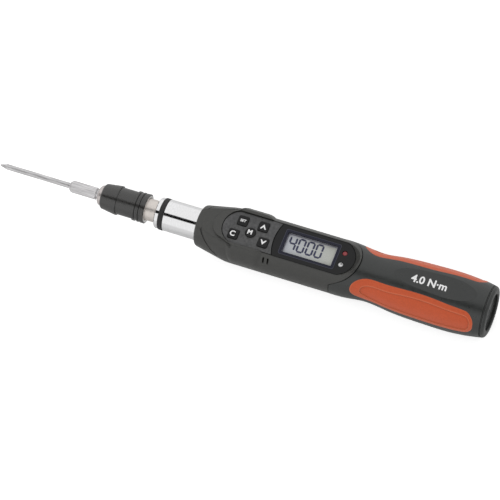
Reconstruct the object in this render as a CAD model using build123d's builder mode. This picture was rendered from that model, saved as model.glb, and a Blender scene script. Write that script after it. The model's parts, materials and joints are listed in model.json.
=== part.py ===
"""Digital torque screwdriver: bit, ball-lock chuck, barrel, keypad housing and battery handle.

Stations are millimetres along the tool's axis, counted from the spindle nose toward the handle's end.
Radii and heights are counted from that axis. +X points to the handle's end and +Z away from the display's back.
"""
import os
from math import cos, radians, sin, sqrt

from build123d import *

# Overall
BODY_RADIUS = 15.4       # housing behind its flare; the display, keypad, board and handle follow it
TUBE_RADIUS = 9.0        # plated barrel; collar, ring and shaft follow it
HEX_FLATS = 6.35         # drive hexagon; the chuck follows it
BIT_REACH = 60.2         # bit tip to the spindle nose
RUNNING_FIT = 0.05       # radial play of parts that turn or slide
SEAT_FIT = 0.02          # radial play of parts that are fixed in each other
RELIEF = 0.3             # free space at the bottom of sockets and bores
EDGE_BREAK = 0.25        # small chamfers
REST_DEPTH = BODY_RADIUS - 0.4   # axis to the flats that the tool lies on

# Bit
HEX_TURN = 44.0          # turn of the hexagon about the axis, degrees
SHAFT_DIA = 3.2
TIP_LENGTH = 4.0
TIP_POINT_DIA = 1.0
FLUTE_OFFSET = 1.25      # axis to the middle of each flute between the tip's wings
FLUTE_RADIUS = 0.8
FLUTE_LENGTH = 3.4
HEX_FRONT = -17.7
HEX_LEAD = 1.5           # cone in front of the hexagon
HEX_LEAD_DIA = SHAFT_DIA + 1.2   # its front end
UNDERCUT_LENGTH = 1.0
UNDERCUT_DIA = 2.3
NECK_FRONT = -1.8
NECK_REAR = 0.2
BALL_RADIUS = 1.2
SOCKET_WALL = 1.234      # hexagon's corner to the spindle's outside
SPINDLE_RADIUS = HEX_FLATS / sqrt(3) + SOCKET_WALL
NECK_DIA = 2 * (SPINDLE_RADIUS - 2 * BALL_RADIUS)
BALL_STATION = 9.0
BIT_REAR = BALL_STATION + 5.0

# Chuck
NOSE_RADIUS = SPINDLE_RADIUS + 0.75
NOSE_LENGTH = 7.0
NOSE_CHAMFER = 0.9
SLEEVE_FRONT = 2.5
SLEEVE_LENGTH = 26.5
SLEEVE_REAR = SLEEVE_FRONT + SLEEVE_LENGTH
SLEEVE_TRAVEL = 3.5
SPRING_BORE_RADIUS = SPINDLE_RADIUS + 2.15
SLEEVE_FRONT_RADIUS = NOSE_RADIUS + 1.55
SLEEVE_FRONT_EDGE = (0.7, 0.5)   # length and depth of the front edge's bevel
SLEEVE_WAIST_RADIUS = SPRING_BORE_RADIUS + 0.65
SLEEVE_STEP_RADIUS = SLEEVE_WAIST_RADIUS + 0.6
SLEEVE_STEP_LAND = 0.9
SLEEVE_STEP = SLEEVE_FRONT + 9.6
RIB_RADIUS = SLEEVE_WAIST_RADIUS + 0.65
RIB_STATIONS = [(SLEEVE_REAR - 7.2, SLEEVE_REAR - 5.5), (SLEEVE_REAR - 4.4, SLEEVE_REAR - 3.2),
                (SLEEVE_REAR - 2.3, SLEEVE_REAR)]
SLEEVE_LAND_REAR = BALL_STATION + 4.0
CLIP_STATION = SLEEVE_REAR - 1.7
CLIP_WIDTH = 1.2
CLIP_GROOVE_RADIUS = SPINDLE_RADIUS - 0.5
CLIP_PLAY = 0.12         # clip's outside to the sleeve's bore
CLIP_MOUTH = 70.0        # opening of the clip, degrees
SPRING_TURNS = 4.5
SPRING_WIRE = (0.7, 1.0)  # radial and axial size of the flat wire
SPRING_PLAY = 0.15       # spring's ends to the land and the clip

# Shaft and barrel
TENON_RADIUS = SPINDLE_RADIUS - 1.1
TUBE_BORE_RADIUS = TUBE_RADIUS - 1.3
SHAFT_FRONT = CLIP_STATION + CLIP_WIDTH + 0.1
SHAFT_RADIUS = TUBE_BORE_RADIUS - 1.5
COLLAR_FRONT = SLEEVE_REAR + SLEEVE_TRAVEL + 2.8   # clears the sleeve when it is drawn back
COLLAR_RADIUS = TUBE_RADIUS - 0.25
COLLAR_CHAMFER = 0.6
RING_FRONT = COLLAR_FRONT + 2.4
RING_REAR = RING_FRONT + 2.9
RING_SEAT_RADIUS = TUBE_BORE_RADIUS - 0.3
RING_RADIUS = TUBE_RADIUS + 0.1
RING_ROUND = 0.6
COLLAR_SPIGOT_REAR = RING_REAR + 6.4
BUSH_WALL = 0.6
BUSH_SETBACK = 0.6
PIN_STATION = COLLAR_FRONT + 2.7
PIN_RADIUS = 1.0
TENON_REAR = PIN_STATION + 3.0
SHAFT_JOURNAL_REAR = COLLAR_SPIGOT_REAR + 3.0
GAUGE_SIDE = SHAFT_RADIUS + 0.8
GAUGE_LENGTH = 11.0
GAUGE_FILM = (6.0, 4.4, 0.2)   # length, width and thickness of a gauge
FLANGE_LENGTH = 9.0
TUBE_REAR = SHAFT_JOURNAL_REAR + GAUGE_LENGTH + FLANGE_LENGTH + 2.0

# Housing's nose and body
HOUSING_FRONT = TUBE_REAR - 12.0
HOUSING_NOSE_RADIUS = TUBE_RADIUS + 2.4
HOUSING_NOSE_ROUND = 2.5
FLARE_RUN = 19.5
FLARE_ROUND = 30.0
HOUSING_FLARE_REAR = HOUSING_FRONT + FLARE_RUN
WALL = 2.2

# Stations of the keypad and the display, each counted from the one before
PLATE_FRONT = HOUSING_FRONT + 15.1
PLATE_LENGTH = 29.65
PLATE_REAR = PLATE_FRONT + PLATE_LENGTH
PLATE_NOSE_REAR = PLATE_FRONT + 6.9
PLATE_REAR_SAG = 1.9     # depth of the plate's hollow rear arc
LENS_FRONT = PLATE_REAR + 0.25
LENS_FRONT_SAG = 1.9
WINDOW_FRONT = LENS_FRONT + 6.3
WINDOW_LENGTH = 28.6
WINDOW_REAR = WINDOW_FRONT + WINDOW_LENGTH
LENS_REAR_CORNER = WINDOW_REAR + 4.7
LENS_REAR_SAG = 7.0
LENS_REAR = LENS_REAR_CORNER + LENS_REAR_SAG

# Display across the axis
LENS_TOP = BODY_RADIUS - 3.65
LENS_THICKNESS = 1.5
LENS_HALF_WIDTH = sqrt(BODY_RADIUS ** 2 - LENS_TOP ** 2)
LENS_GAP = 0.15
LENS_SINK = 0.05         # bezel's top below the housing round it
SHOULDER_TAPER = -38.0   # slope of the shoulder behind the display, degrees
SHOULDER_FOOT = 0.2      # bezel to the foot of the shoulder
SHOULDER_RISE = 6.0
TONGUE_REAR = LENS_REAR + 4.0    # housing's round tongue behind the display
TONGUE_RADIUS = LENS_HALF_WIDTH + 3.5
ROOF_THICKNESS = 1.2     # tongue's floor below the bezel
WINDOW_HALF_WIDTH = LENS_HALF_WIDTH - 3.9
WINDOW_LIP = 0.9
PANE_THICKNESS = 0.8
LCD_MARGIN = 1.4
LCD_THICKNESS = 2.2
LED_RADIUS = 1.5
LED_ROUND = 0.9
LED_STATION = WINDOW_REAR + 4.8
LED_ACROSS = 0.35 * LENS_HALF_WIDTH
LED_PLACES = {"led_red": (LED_STATION, LED_ACROSS), "led_white": (LED_STATION, -LED_ACROSS)}

# Keypad across the axis
PLATE_TOP = BODY_RADIUS - 3.7
PLATE_THICKNESS = 1.6
PLATE_HALF_WIDTH = LENS_HALF_WIDTH - 0.25
PLATE_GAP = 0.3
KEY_SIZE = 0.336 * sqrt(PLATE_LENGTH * PLATE_HALF_WIDTH)
KEY_CORNER = 0.9
KEY_RISE = 0.55
KEY_ROUND = 0.35         # rounding of the keys' tops
KEY_PLAY = 0.12
KEY_FLANGE = 0.45        # how far the flange reaches past the key
KEY_FLANGE_THICKNESS = 0.7
KEY_TRAVEL = 0.4
KEY_SHARES = {           # place on the plate: share of its length, share of its half-width
    "button_unit": (0.337, 0.464),
    "button_clear": (0.256, -0.464),
    "button_mode": (0.55, -0.093),
    "button_up": (0.742, 0.464),
    "button_down": (0.84, -0.464),
}
KEY_PLACES = {name: (PLATE_FRONT + along * PLATE_LENGTH, across * PLATE_HALF_WIDTH)
              for name, (along, across) in KEY_SHARES.items()}
ROUND_KEY = "button_mode"
SWITCH_SIZE = KEY_SIZE - 1.1
SWITCH_HEIGHT = 1.4
PLUNGER_RADIUS = 1.2
PLUNGER_RISE = 0.3

# Housing's top: raised keypad cheeks, ridge round the keypad's front and creases
HUMP_RISE = 1.9          # lift of the keypad cheeks' centre
HUMP_SWELL = 0.4         # their radius beyond the body's
HUMP_SINK = 0.4          # how far the cheeks' ends lie below the body
HUMP_FRONT = (PLATE_FRONT + 1.5, PLATE_FRONT + 10.0)
HUMP_REAR = (PLATE_REAR - 8.5, PLATE_REAR + 0.5)
RIM_TOP = PLATE_TOP + 1.0      # height of the rims beside the keypad
RIM_SPAN = (PLATE_FRONT + 4.9, PLATE_REAR - 3.75)
NOSE_TOP = HOUSING_NOSE_RADIUS - 1.1   # height of the nose's flattened top
NOSE_TOP_REAR = PLATE_TOP - 0.75       # the same beside the keypad's front
RIDGE_TIP = PLATE_FRONT - 5.6
RIDGE_FLANK = (PLATE_FRONT + 1.5, LENS_HALF_WIDTH - 1.5)
RIDGE_REAR = (PLATE_FRONT + 8.9, LENS_HALF_WIDTH + 1.5)
CREASE_TOP = (HOUSING_FRONT + 4.0, HOUSING_NOSE_RADIUS - 1.0)
CREASE_FOOT = (HOUSING_FRONT + 15.5, -0.5)
CREASE_WIDTH = 0.7
CREASE_DEPTH = 0.6
CAVITY_FRONT = PLATE_FRONT - 0.1
CAVITY_TAPER = 1.2       # how much narrower the cavity is at its front
SLIT_STATIONS = [PLATE_REAR - 1.85, PLATE_REAR + 0.75]
SLIT_SIZE = (0.9, 3.2)
SLIT_HEIGHT = BODY_RADIUS - 7.2

# Seam between housing and handle, in the side view
SEAM_REACH = BODY_RADIUS + 2.1
SEAM_PROFILE = [(LENS_REAR - 1.6, SEAM_REACH), (LENS_REAR - 2.0, BODY_RADIUS - 4.9),
                (LENS_REAR - 10.4, BODY_RADIUS - 9.9), (LENS_REAR - 10.9, -SEAM_REACH)]
SEAM_GAP = 0.3

# Board and small electrics
BOARD_TOP = BODY_RADIUS - 8.6
BOARD_THICKNESS = 1.6
BOARD_SPAN = (PLATE_FRONT + 4.9, LED_STATION + 2.8)
BOARD_HALF_WIDTH = LENS_HALF_WIDTH - 0.95
BOARD_CORNER = 1.0
RAIL_LENGTH = 6.0
RAIL_SPANS = [(BOARD_SPAN[0] + 4.0, BOARD_SPAN[0] + 4.0 + RAIL_LENGTH),
              (WINDOW_FRONT + 10.7, WINDOW_FRONT + 10.7 + RAIL_LENGTH)]
RAIL_DEPTH = 2.0
RAIL_LAP = 1.0           # how far a rail reaches below the board
RAIL_ROOT = 0.5          # how far a rail runs into the wall
BUZZER_SIZE = (4.4, 4.0, 2.0)
BUZZER_BEVEL = 0.4
BUZZER_PLACE = (PLATE_REAR + 0.25, 2.35 - BOARD_HALF_WIDTH)
SPIGOT_FRONT = SEAM_PROFILE[-1][0] - 9.7
SCREW_STATIONS = [SPIGOT_FRONT + 1.8, SPIGOT_FRONT + 6.6]
SCREW_LENGTH = 6.0
SCREW_RADIUS = 1.25
SCREW_HEAD_RADIUS = 2.2
SCREW_HEAD_HEIGHT = 1.2
SCREW_SINK = 0.1         # heads above the rest plane
SCREW_CROSS = (2.4, 0.7, 0.7)  # length, width and depth of the drive's arms

# Cells: two side by side, as thick as the handle's waist allows
CELL_LENGTH = 44.5
CELL_WALL = 4.9
CELL_RADIUS = (BODY_RADIUS - CELL_WALL) / 2
CELL_OFFSET = CELL_RADIUS + 0.15
NUB_RADIUS = 1.9
NUB_LENGTH = 0.8
BAY_PLAY = 0.2
CONTACT_BOARD_FRONT = LENS_REAR + 11.4
CONTACT_BOARD_THICKNESS = 1.6
CONTACT_WIRE = 0.6
CONTACT_COIL_RADIUS = CELL_RADIUS - 2.25
CONTACT_TURNS = 2.5
CELL_FRONT = CONTACT_BOARD_FRONT + 5.5
CAP_CONTACT_THICKNESS = 0.5
CAP_SPIGOT_FRONT = CELL_FRONT + CELL_LENGTH + NUB_LENGTH + CAP_CONTACT_THICKNESS + 0.6

# Handle: (station, radius) knots of its skin
HANDLE_FRONT_RADIUS = BODY_RADIUS - 0.1
HANDLE_NECK = (LENS_REAR - 1.6, BODY_RADIUS - 0.2)
HANDLE_WAIST = (LENS_REAR + 8.4, BODY_RADIUS - 1.2)
HANDLE_TAIL = (CAP_SPIGOT_FRONT + 12.0, BODY_RADIUS - 0.7)
HANDLE_RUN = HANDLE_TAIL[0] - HANDLE_WAIST[0]
HANDLE_RISE = (HANDLE_WAIST[0] + 0.209 * HANDLE_RUN, BODY_RADIUS + 0.1)
HANDLE_BELLY = (HANDLE_WAIST[0] + 0.538 * HANDLE_RUN, BODY_RADIUS + 1.3)
TAIL_SLOPE = -0.19
SPIGOT_WALL = 4.0
SPIGOT_DROP = 1.6        # board's underside to the spigot's upper edge
ELECTRICS_REAR = LENS_REAR + 0.8   # end of the space for the board inside the handle's front

# Grip pads, in the side view
PAD_DEPTH = 1.4
PAD_TIP = LENS_REAR + 1.4
PAD_TIP_HEIGHT = BODY_RADIUS - 9.0
PAD_REAR = HANDLE_TAIL[0] - 3.7
PAD_NOSE = 11.0          # length of the rounded front end
PAD_NOSE_DROP = 3.0      # its upper end below BODY_RADIUS
PAD_TOP_SLOPE = 0.07
PAD_TOP_LINE = [(0.356, 1.6), (0.612, 0.75), (0.826, 1.35)]  # shares of the length, drops from BODY_RADIUS
PAD_TOP_REAR = BODY_RADIUS - 2.2
PAD_FOOT_FRONT = 0.4
PAD_FOOT_REAR = 0.9
PAD_CORNER = 0.42 * (PAD_TOP_REAR - PAD_FOOT_REAR)
PAD_RIM = 1.9
PAD_RIM_NOSE = 3.6       # the rim is wider by this at the nose
PAD_FIELD_DEPTH = 0.5

# Cap
CAP_GAP = 0.25
CAP_LENGTH = 2.35        # the part that shows behind the handle
TOOL_LENGTH = HANDLE_TAIL[0] + CAP_GAP + CAP_LENGTH   # spindle nose to the end of the cap
CAP_SPIGOT_RADIUS = 2 * CELL_RADIUS + 0.9
CAP_RING_GROOVE = (CAP_SPIGOT_FRONT + 6.7, CAP_SPIGOT_FRONT + 8.5)
CAP_RING_DEPTH = 1.0
CAP_LUG = (CAP_SPIGOT_FRONT + 1.5, CAP_SPIGOT_FRONT + 3.1)
CAP_LUG_REACH = 1.2
CAP_LUG_ROOT = 1.0       # how far a lug runs into the spigot
CAP_LUG_ANGLE = 24.0
CAP_SLOT_ANGLE = CAP_LUG_ANGLE + 4.0
CAP_TURN = 60.0
CAP_RADIUS = HANDLE_TAIL[1] - 0.1
CAP_END_RADIUS = CAP_RADIUS - 0.2
CAP_RIM_ROUND = 2.0
CAP_GROOVE = (0.25, 0.35, 0.35)  # distance from the cap's front, width and depth of the fine ring
CAP_CUP_RADIUS = CAP_END_RADIUS - 4.0
CAP_CUP_DEPTH = 1.8
CAP_CUP_ROUND = 0.6
CAP_HOLE_RADIUS = 1.3
CAP_HOLE_DEPTH = 3.0
CAP_CONTACT_RADIUS = CAP_SPIGOT_RADIUS - 2.4

# The shared frame: the bit tip and the cap lie equally far from the origin, which is at the rest plane
NOSE_X = (BIT_REACH - TOOL_LENGTH) / 2
TOOL_AXIS = Axis((0, 0, REST_DEPTH), (1, 0, 0))
SIDE = Plane(origin=(NOSE_X, 0, REST_DEPTH), x_dir=(1, 0, 0), z_dir=(0, -1, 0))
LEDGE_PLATE = PLATE_TOP - PLATE_THICKNESS
LEDGE_LENS = LENS_TOP - LENS_THICKNESS
ROOF_UNDERSIDE = LEDGE_LENS - ROOF_THICKNESS
BOARD_UNDERSIDE = BOARD_TOP - BOARD_THICKNESS
SCREW_SEAT = SCREW_SINK + SCREW_HEAD_HEIGHT - REST_DEPTH
SPIGOT_TOP = BOARD_UNDERSIDE - SPIGOT_DROP
FAR = 40.0               # reach of cutting bodies past the tool
OVERCUT = 1.0            # how far a cut starts before the face that it opens

os.makedirs("parts", exist_ok=True)


def deck(height):
    """Plane parallel to the display, at a height above the axis."""
    return Plane(origin=(NOSE_X, 0, REST_DEPTH + height), x_dir=(1, 0, 0), z_dir=(0, 0, 1))


def cross(station):
    """Plane across the axis at a station, with local x along Y."""
    return Plane(origin=(NOSE_X + station, 0, REST_DEPTH), x_dir=(0, 1, 0), z_dir=(1, 0, 0))


def turn(outline, mode=Mode.ADD):
    """Turn a closed outline of (station, radius) points about the tool's axis."""
    with BuildSketch(SIDE) as profile:
        with BuildLine():
            Polyline(*outline, close=True)
        make_face()
    revolve(profile.sketch, axis=TOOL_AXIS, mode=mode)


def ring(front, rear, inner, outer, mode=Mode.ADD):
    """A plain ring, or a disc when the inner radius is 0."""
    turn([(front, inner), (rear, inner), (rear, outer), (front, outer)], mode)


def side_cut(outline, mode=Mode.SUBTRACT):
    """Cut straight across the tool with an outline drawn in the side view."""
    with BuildSketch(SIDE) as profile:
        with BuildLine():
            Polyline(*outline, close=True)
        make_face()
    extrude(profile.sketch, amount=FAR, both=True, mode=mode)


def hexagon(front, rear, flats, mode=Mode.ADD):
    """A hexagonal bar about the axis."""
    with BuildSketch(cross(front)) as profile:
        RegularPolygon(flats / 2, 6, major_radius=False, rotation=HEX_TURN)
    extrude(profile.sketch, amount=rear - front, mode=mode)


def box(front, rear, half_width, low, high, mode=Mode.ADD, middle=0.0):
    """A block between two stations and two heights, placed across the axis at middle."""
    with BuildSketch(deck(low)) as profile:
        with Locations(((front + rear) / 2, middle)):
            Rectangle(rear - front, 2 * half_width)
    extrude(profile.sketch, amount=high - low, mode=mode)


def post(place, radius, low, high, mode=Mode.ADD):
    """A round post that stands on the deck planes."""
    with BuildSketch(deck(low)) as profile:
        with Locations(place):
            Circle(radius)
    extrude(profile.sketch, amount=high - low, mode=mode)


def plate_outline(grow):
    """Bullet outline of the keypad plate, grown by a margin."""
    half = PLATE_HALF_WIDTH + grow
    corner = PLATE_REAR + PLATE_REAR_SAG + grow
    with BuildSketch(deck(LEDGE_PLATE)) as outline:
        with BuildLine():
            ThreePointArc((PLATE_NOSE_REAR, half), (PLATE_FRONT - grow, 0), (PLATE_NOSE_REAR, -half))
            Line((PLATE_NOSE_REAR, -half), (corner, -half))
            ThreePointArc((corner, -half), (PLATE_REAR + grow, 0), (corner, half))
            Line((corner, half), (PLATE_NOSE_REAR, half))
        make_face()
    return outline.sketch


def tongue_outline(grow, height):
    """Outline of the housing's tongue below and behind the display, grown by a margin."""
    radius, centre = TONGUE_RADIUS + grow, TONGUE_REAR - TONGUE_RADIUS
    with BuildSketch(deck(height)) as outline:
        with Locations((centre, 0)):
            Circle(radius)
        with Locations(((LENS_FRONT + centre) / 2, 0)):
            Rectangle(centre - LENS_FRONT, 2 * radius)
    return outline.sketch


def lens_outline(grow, height):
    """Outline of the display bezel, grown by a margin, on the plane at a height."""
    half = LENS_HALF_WIDTH + grow
    front, front_corner = LENS_FRONT - grow, LENS_FRONT + LENS_FRONT_SAG - grow
    rear, rear_corner = LENS_REAR + grow, LENS_REAR_CORNER
    with BuildSketch(deck(height)) as outline:
        with BuildLine():
            ThreePointArc((front_corner, half), (front, 0), (front_corner, -half))
            Line((front_corner, -half), (rear_corner, -half))
            ThreePointArc((rear_corner, -half), (rear, 0), (rear_corner, half))
            Line((rear_corner, half), (front_corner, half))
        make_face()
    return outline.sketch


def handle_outline(inset):
    """Side profile of the handle's skin down to the axis, drawn in by an inset."""
    front = SPIGOT_FRONT
    with BuildSketch(SIDE) as outline:
        with BuildLine():
            start = (front, HANDLE_FRONT_RADIUS - inset)
            knots = [(x, r - inset) for x, r in (HANDLE_NECK, HANDLE_WAIST, HANDLE_RISE, HANDLE_BELLY)]
            end = (HANDLE_TAIL[0], HANDLE_TAIL[1] - inset)
            Spline(start, *knots, end, tangents=((1, 0), (1, TAIL_SLOPE)))
            Line(end, (HANDLE_TAIL[0], 0))
            Line((HANDLE_TAIL[0], 0), (front, 0))
            Line((front, 0), start)
        make_face()
    return outline.sketch


def pad_outline(inset, nose_inset=0.0):
    """Side outline of a grip pad, drawn in by an inset and at its nose by a further one."""
    tip, rear = (PAD_TIP + inset + nose_inset, PAD_TIP_HEIGHT), PAD_REAR - inset
    run, corner = rear - tip[0], PAD_CORNER - inset
    top_start = (tip[0] + PAD_NOSE, BODY_RADIUS - PAD_NOSE_DROP - inset)
    top = [(tip[0] + share * run, BODY_RADIUS - drop - inset) for share, drop in PAD_TOP_LINE]
    top_end = (rear - corner, PAD_TOP_REAR - inset)
    foot_start = (tip[0] + PAD_NOSE, PAD_FOOT_FRONT + inset)
    foot_end = (rear - corner, PAD_FOOT_REAR + inset)
    rise, fall = top_start[1] - tip[1], tip[1] - foot_start[1]
    with BuildSketch(SIDE) as outline:
        with BuildLine():
            Bezier(tip, (tip[0], tip[1] + 0.7 * rise),
                   (tip[0] + 0.36 * PAD_NOSE, top_start[1] - PAD_TOP_SLOPE * PAD_NOSE * 0.64), top_start)
            Spline(top_start, *top, top_end, tangents=((1, PAD_TOP_SLOPE), (1, TAIL_SLOPE)))
            TangentArc(top_end, (rear, top_end[1] - corner), tangent=(1, TAIL_SLOPE))
            Line((rear, top_end[1] - corner), (rear, foot_end[1] + corner))
            RadiusArc((rear, foot_end[1] + corner), foot_end, corner)
            Line(foot_end, foot_start)
            Bezier(foot_start, (tip[0] + 0.45 * PAD_NOSE, foot_start[1]), (tip[0], tip[1] - 0.65 * fall), tip)
        make_face()
    return outline.sketch


def key_outline(name, grow, height):
    """Outline of one key, grown by a margin, on the plane at a height."""
    with BuildSketch(deck(height)) as outline:
        with Locations(KEY_PLACES[name]):
            if name == ROUND_KEY:
                Circle(KEY_SIZE / 2 + grow)
            else:
                RectangleRounded(KEY_SIZE + 2 * grow, KEY_SIZE + 2 * grow, KEY_CORNER + grow)
    return outline.sketch


def lug_outline(station, width, middle, reach):
    """Two opposite ring sectors for the bayonet, each of a width in degrees about a middle angle."""
    inner, outer = CAP_SPIGOT_RADIUS - CAP_LUG_ROOT, CAP_SPIGOT_RADIUS + reach
    with BuildSketch(cross(station)) as outline:
        for turned in (middle, middle + 180):
            first, mean, last = (radians(turned + share * width / 2) for share in (-1, 0, 1))
            with BuildLine():
                ThreePointArc(*[(outer * cos(a), outer * sin(a)) for a in (first, mean, last)])
                Line((outer * cos(last), outer * sin(last)), (inner * cos(last), inner * sin(last)))
                ThreePointArc(*[(inner * cos(a), inner * sin(a)) for a in (last, mean, first)])
                Line((inner * cos(first), inner * sin(first)), (outer * cos(first), outer * sin(first)))
            make_face()
    return outline.sketch


def bay_outline(station, play):
    """Outline of the double cell bay across the axis."""
    with BuildSketch(cross(station)) as outline:
        SlotCenterToCenter(2 * CELL_OFFSET, 2 * (CELL_RADIUS + play))
    return outline.sketch


# Bit: cross tip, slim shaft, hexagon with its lead-in cone, neck and ball groove
with BuildPart() as bit:
    hex_corner = HEX_FLATS / sqrt(3)
    shaft_rear = HEX_FRONT - UNDERCUT_LENGTH
    turn([(-BIT_REACH, 0), (-BIT_REACH, TIP_POINT_DIA / 2), (TIP_LENGTH - BIT_REACH, SHAFT_DIA / 2),
          (shaft_rear, SHAFT_DIA / 2), (shaft_rear, UNDERCUT_DIA / 2), (HEX_FRONT, UNDERCUT_DIA / 2),
          (HEX_FRONT, 0)])
    with BuildSketch(cross(-BIT_REACH)) as flutes:
        with PolarLocations(FLUTE_OFFSET, 4, start_angle=45):
            Circle(FLUTE_RADIUS)
    extrude(flutes.sketch, amount=FLUTE_LENGTH, mode=Mode.SUBTRACT)
    hexagon(HEX_FRONT, BIT_REAR, HEX_FLATS)
    turn([(HEX_FRONT, HEX_LEAD_DIA / 2), (HEX_FRONT, FAR), (HEX_FRONT + HEX_LEAD, FAR),
          (HEX_FRONT + HEX_LEAD, hex_corner)], Mode.SUBTRACT)
    ring(NECK_FRONT, NECK_REAR, NECK_DIA / 2, FAR, Mode.SUBTRACT)
    ring(BALL_STATION - BALL_RADIUS, BALL_STATION + BALL_RADIUS, NECK_DIA / 2, FAR, Mode.SUBTRACT)
bit.part.label = "bit"
export_step(bit.part, "parts/bit.step")

# Chuck spindle: nose, journal for the sleeve, clip groove, tenon, hexagon socket and ball holes
with BuildPart() as chuck_spindle:
    turn([(0, 0), (0, NOSE_RADIUS - NOSE_CHAMFER), (NOSE_CHAMFER, NOSE_RADIUS), (NOSE_LENGTH, NOSE_RADIUS),
          (NOSE_LENGTH, SPINDLE_RADIUS), (CLIP_STATION, SPINDLE_RADIUS), (CLIP_STATION, CLIP_GROOVE_RADIUS),
          (SHAFT_FRONT, CLIP_GROOVE_RADIUS), (SHAFT_FRONT, TENON_RADIUS), (TENON_REAR, TENON_RADIUS),
          (TENON_REAR, 0)])
    hexagon(0, BIT_REAR + RELIEF, HEX_FLATS + 2 * RUNNING_FIT, Mode.SUBTRACT)
    with BuildSketch(deck(0)) as ball_holes:
        with Locations((BALL_STATION, 0)):
            Circle(BALL_RADIUS + RUNNING_FIT)
    extrude(ball_holes.sketch, amount=FAR, both=True, mode=Mode.SUBTRACT)
    with BuildSketch(deck(0)) as pin_hole:
        with Locations((PIN_STATION, 0)):
            Circle(PIN_RADIUS + SEAT_FIT)
    extrude(pin_hole.sketch, amount=FAR, both=True, mode=Mode.SUBTRACT)
chuck_spindle.part.label = "chuck_spindle"
export_step(chuck_spindle.part, "parts/chuck_spindle.step")

# Detent balls, held in the bit's groove by the sleeve's land
with BuildPart() as detent_balls:
    ball_height = SPINDLE_RADIUS - BALL_RADIUS
    for height in (ball_height, -ball_height):
        with Locations((NOSE_X + BALL_STATION, 0, REST_DEPTH + height)):
            Sphere(BALL_RADIUS)
detent_balls.part.label = "detent_balls"
export_step(detent_balls.part, "parts/detent_balls.step")

# Sleeve: conical front, waist and rear ribs outside, release pocket, land and spring chamber inside
with BuildPart() as chuck_sleeve:
    front_bore = NOSE_RADIUS + RUNNING_FIT
    land_front = NOSE_LENGTH + RUNNING_FIT
    edge_length, edge_depth = SLEEVE_FRONT_EDGE
    outside = [(SLEEVE_FRONT, front_bore), (SLEEVE_FRONT, SLEEVE_FRONT_RADIUS - edge_depth),
               (SLEEVE_FRONT + edge_length, SLEEVE_FRONT_RADIUS), (SLEEVE_STEP - SLEEVE_STEP_LAND, SLEEVE_STEP_RADIUS),
               (SLEEVE_STEP, SLEEVE_STEP_RADIUS), (SLEEVE_STEP, SLEEVE_WAIST_RADIUS)]
    for rib_front, rib_rear in RIB_STATIONS:
        outside += [(rib_front, SLEEVE_WAIST_RADIUS), (rib_front + EDGE_BREAK, RIB_RADIUS),
                    (rib_rear - EDGE_BREAK, RIB_RADIUS), (rib_rear, SLEEVE_WAIST_RADIUS)]
    inside = [(SLEEVE_REAR, SPRING_BORE_RADIUS), (SLEEVE_LAND_REAR, SPRING_BORE_RADIUS),
              (SLEEVE_LAND_REAR, SPINDLE_RADIUS + RUNNING_FIT), (land_front, SPINDLE_RADIUS + RUNNING_FIT),
              (land_front, front_bore)]
    turn(outside + inside)
chuck_sleeve.part.label = "chuck_sleeve"
export_step(chuck_sleeve.part, "parts/chuck_sleeve.step")

# Retaining clip in the spindle's groove, its mouth on the underside
with BuildPart() as retaining_clip:
    ring(CLIP_STATION + SEAT_FIT, CLIP_STATION + CLIP_WIDTH, CLIP_GROOVE_RADIUS + SEAT_FIT, SPRING_BORE_RADIUS - CLIP_PLAY)
    half_mouth = radians(CLIP_MOUTH / 2)
    with BuildSketch(cross(CLIP_STATION)) as mouth:
        with BuildLine():
            Polyline((0, 0), (FAR * sin(half_mouth), -FAR * cos(half_mouth)),
                     (-FAR * sin(half_mouth), -FAR * cos(half_mouth)), close=True)
        make_face()
    extrude(mouth.sketch, amount=2 * CLIP_WIDTH, mode=Mode.SUBTRACT)
retaining_clip.part.label = "retaining_clip"
export_step(retaining_clip.part, "parts/retaining_clip.step")

# Sleeve spring: flat wire wound between the sleeve's land and the clip
with BuildPart() as chuck_spring:
    wire_radial, wire_axial = SPRING_WIRE
    coil_radius = (SPINDLE_RADIUS + SPRING_BORE_RADIUS) / 2
    coil_front = SLEEVE_LAND_REAR + wire_axial / 2 + SPRING_PLAY
    coil_rear = CLIP_STATION - wire_axial / 2 - SPRING_PLAY
    with BuildLine() as coil:
        Helix(pitch=(coil_rear - coil_front) / SPRING_TURNS, height=coil_rear - coil_front, radius=coil_radius,
              center=(NOSE_X + coil_front, 0, REST_DEPTH), direction=(1, 0, 0))
    wire_plane = Plane(origin=coil.line @ 0, x_dir=(1, 0, 0), z_dir=coil.line % 0)
    with BuildSketch(wire_plane):
        Rectangle(wire_axial, wire_radial)
    sweep(path=coil.line, is_frenet=True)
chuck_spring.part.label = "chuck_spring"
export_step(chuck_spring.part, "parts/chuck_spring.step")

# Torsion shaft: bored front journal, square gauge section and rear flange seated in the barrel
flange_front = SHAFT_JOURNAL_REAR + GAUGE_LENGTH
with BuildPart() as torsion_shaft:
    ring(SHAFT_FRONT, SHAFT_JOURNAL_REAR, 0, SHAFT_RADIUS)
    with BuildSketch(cross(SHAFT_JOURNAL_REAR)) as gauge_section:
        Rectangle(GAUGE_SIDE, GAUGE_SIDE)
    extrude(gauge_section.sketch, amount=GAUGE_LENGTH)
    ring(flange_front, flange_front + FLANGE_LENGTH, 0, TUBE_BORE_RADIUS - SEAT_FIT)
    ring(SHAFT_FRONT, TENON_REAR + RELIEF, 0, TENON_RADIUS + SEAT_FIT, Mode.SUBTRACT)
    with BuildSketch(deck(0)) as shaft_pin_hole:
        with Locations((PIN_STATION, 0)):
            Circle(PIN_RADIUS + SEAT_FIT)
    extrude(shaft_pin_hole.sketch, amount=FAR, both=True, mode=Mode.SUBTRACT)
torsion_shaft.part.label = "torsion_shaft"
export_step(torsion_shaft.part, "parts/torsion_shaft.step")

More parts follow.
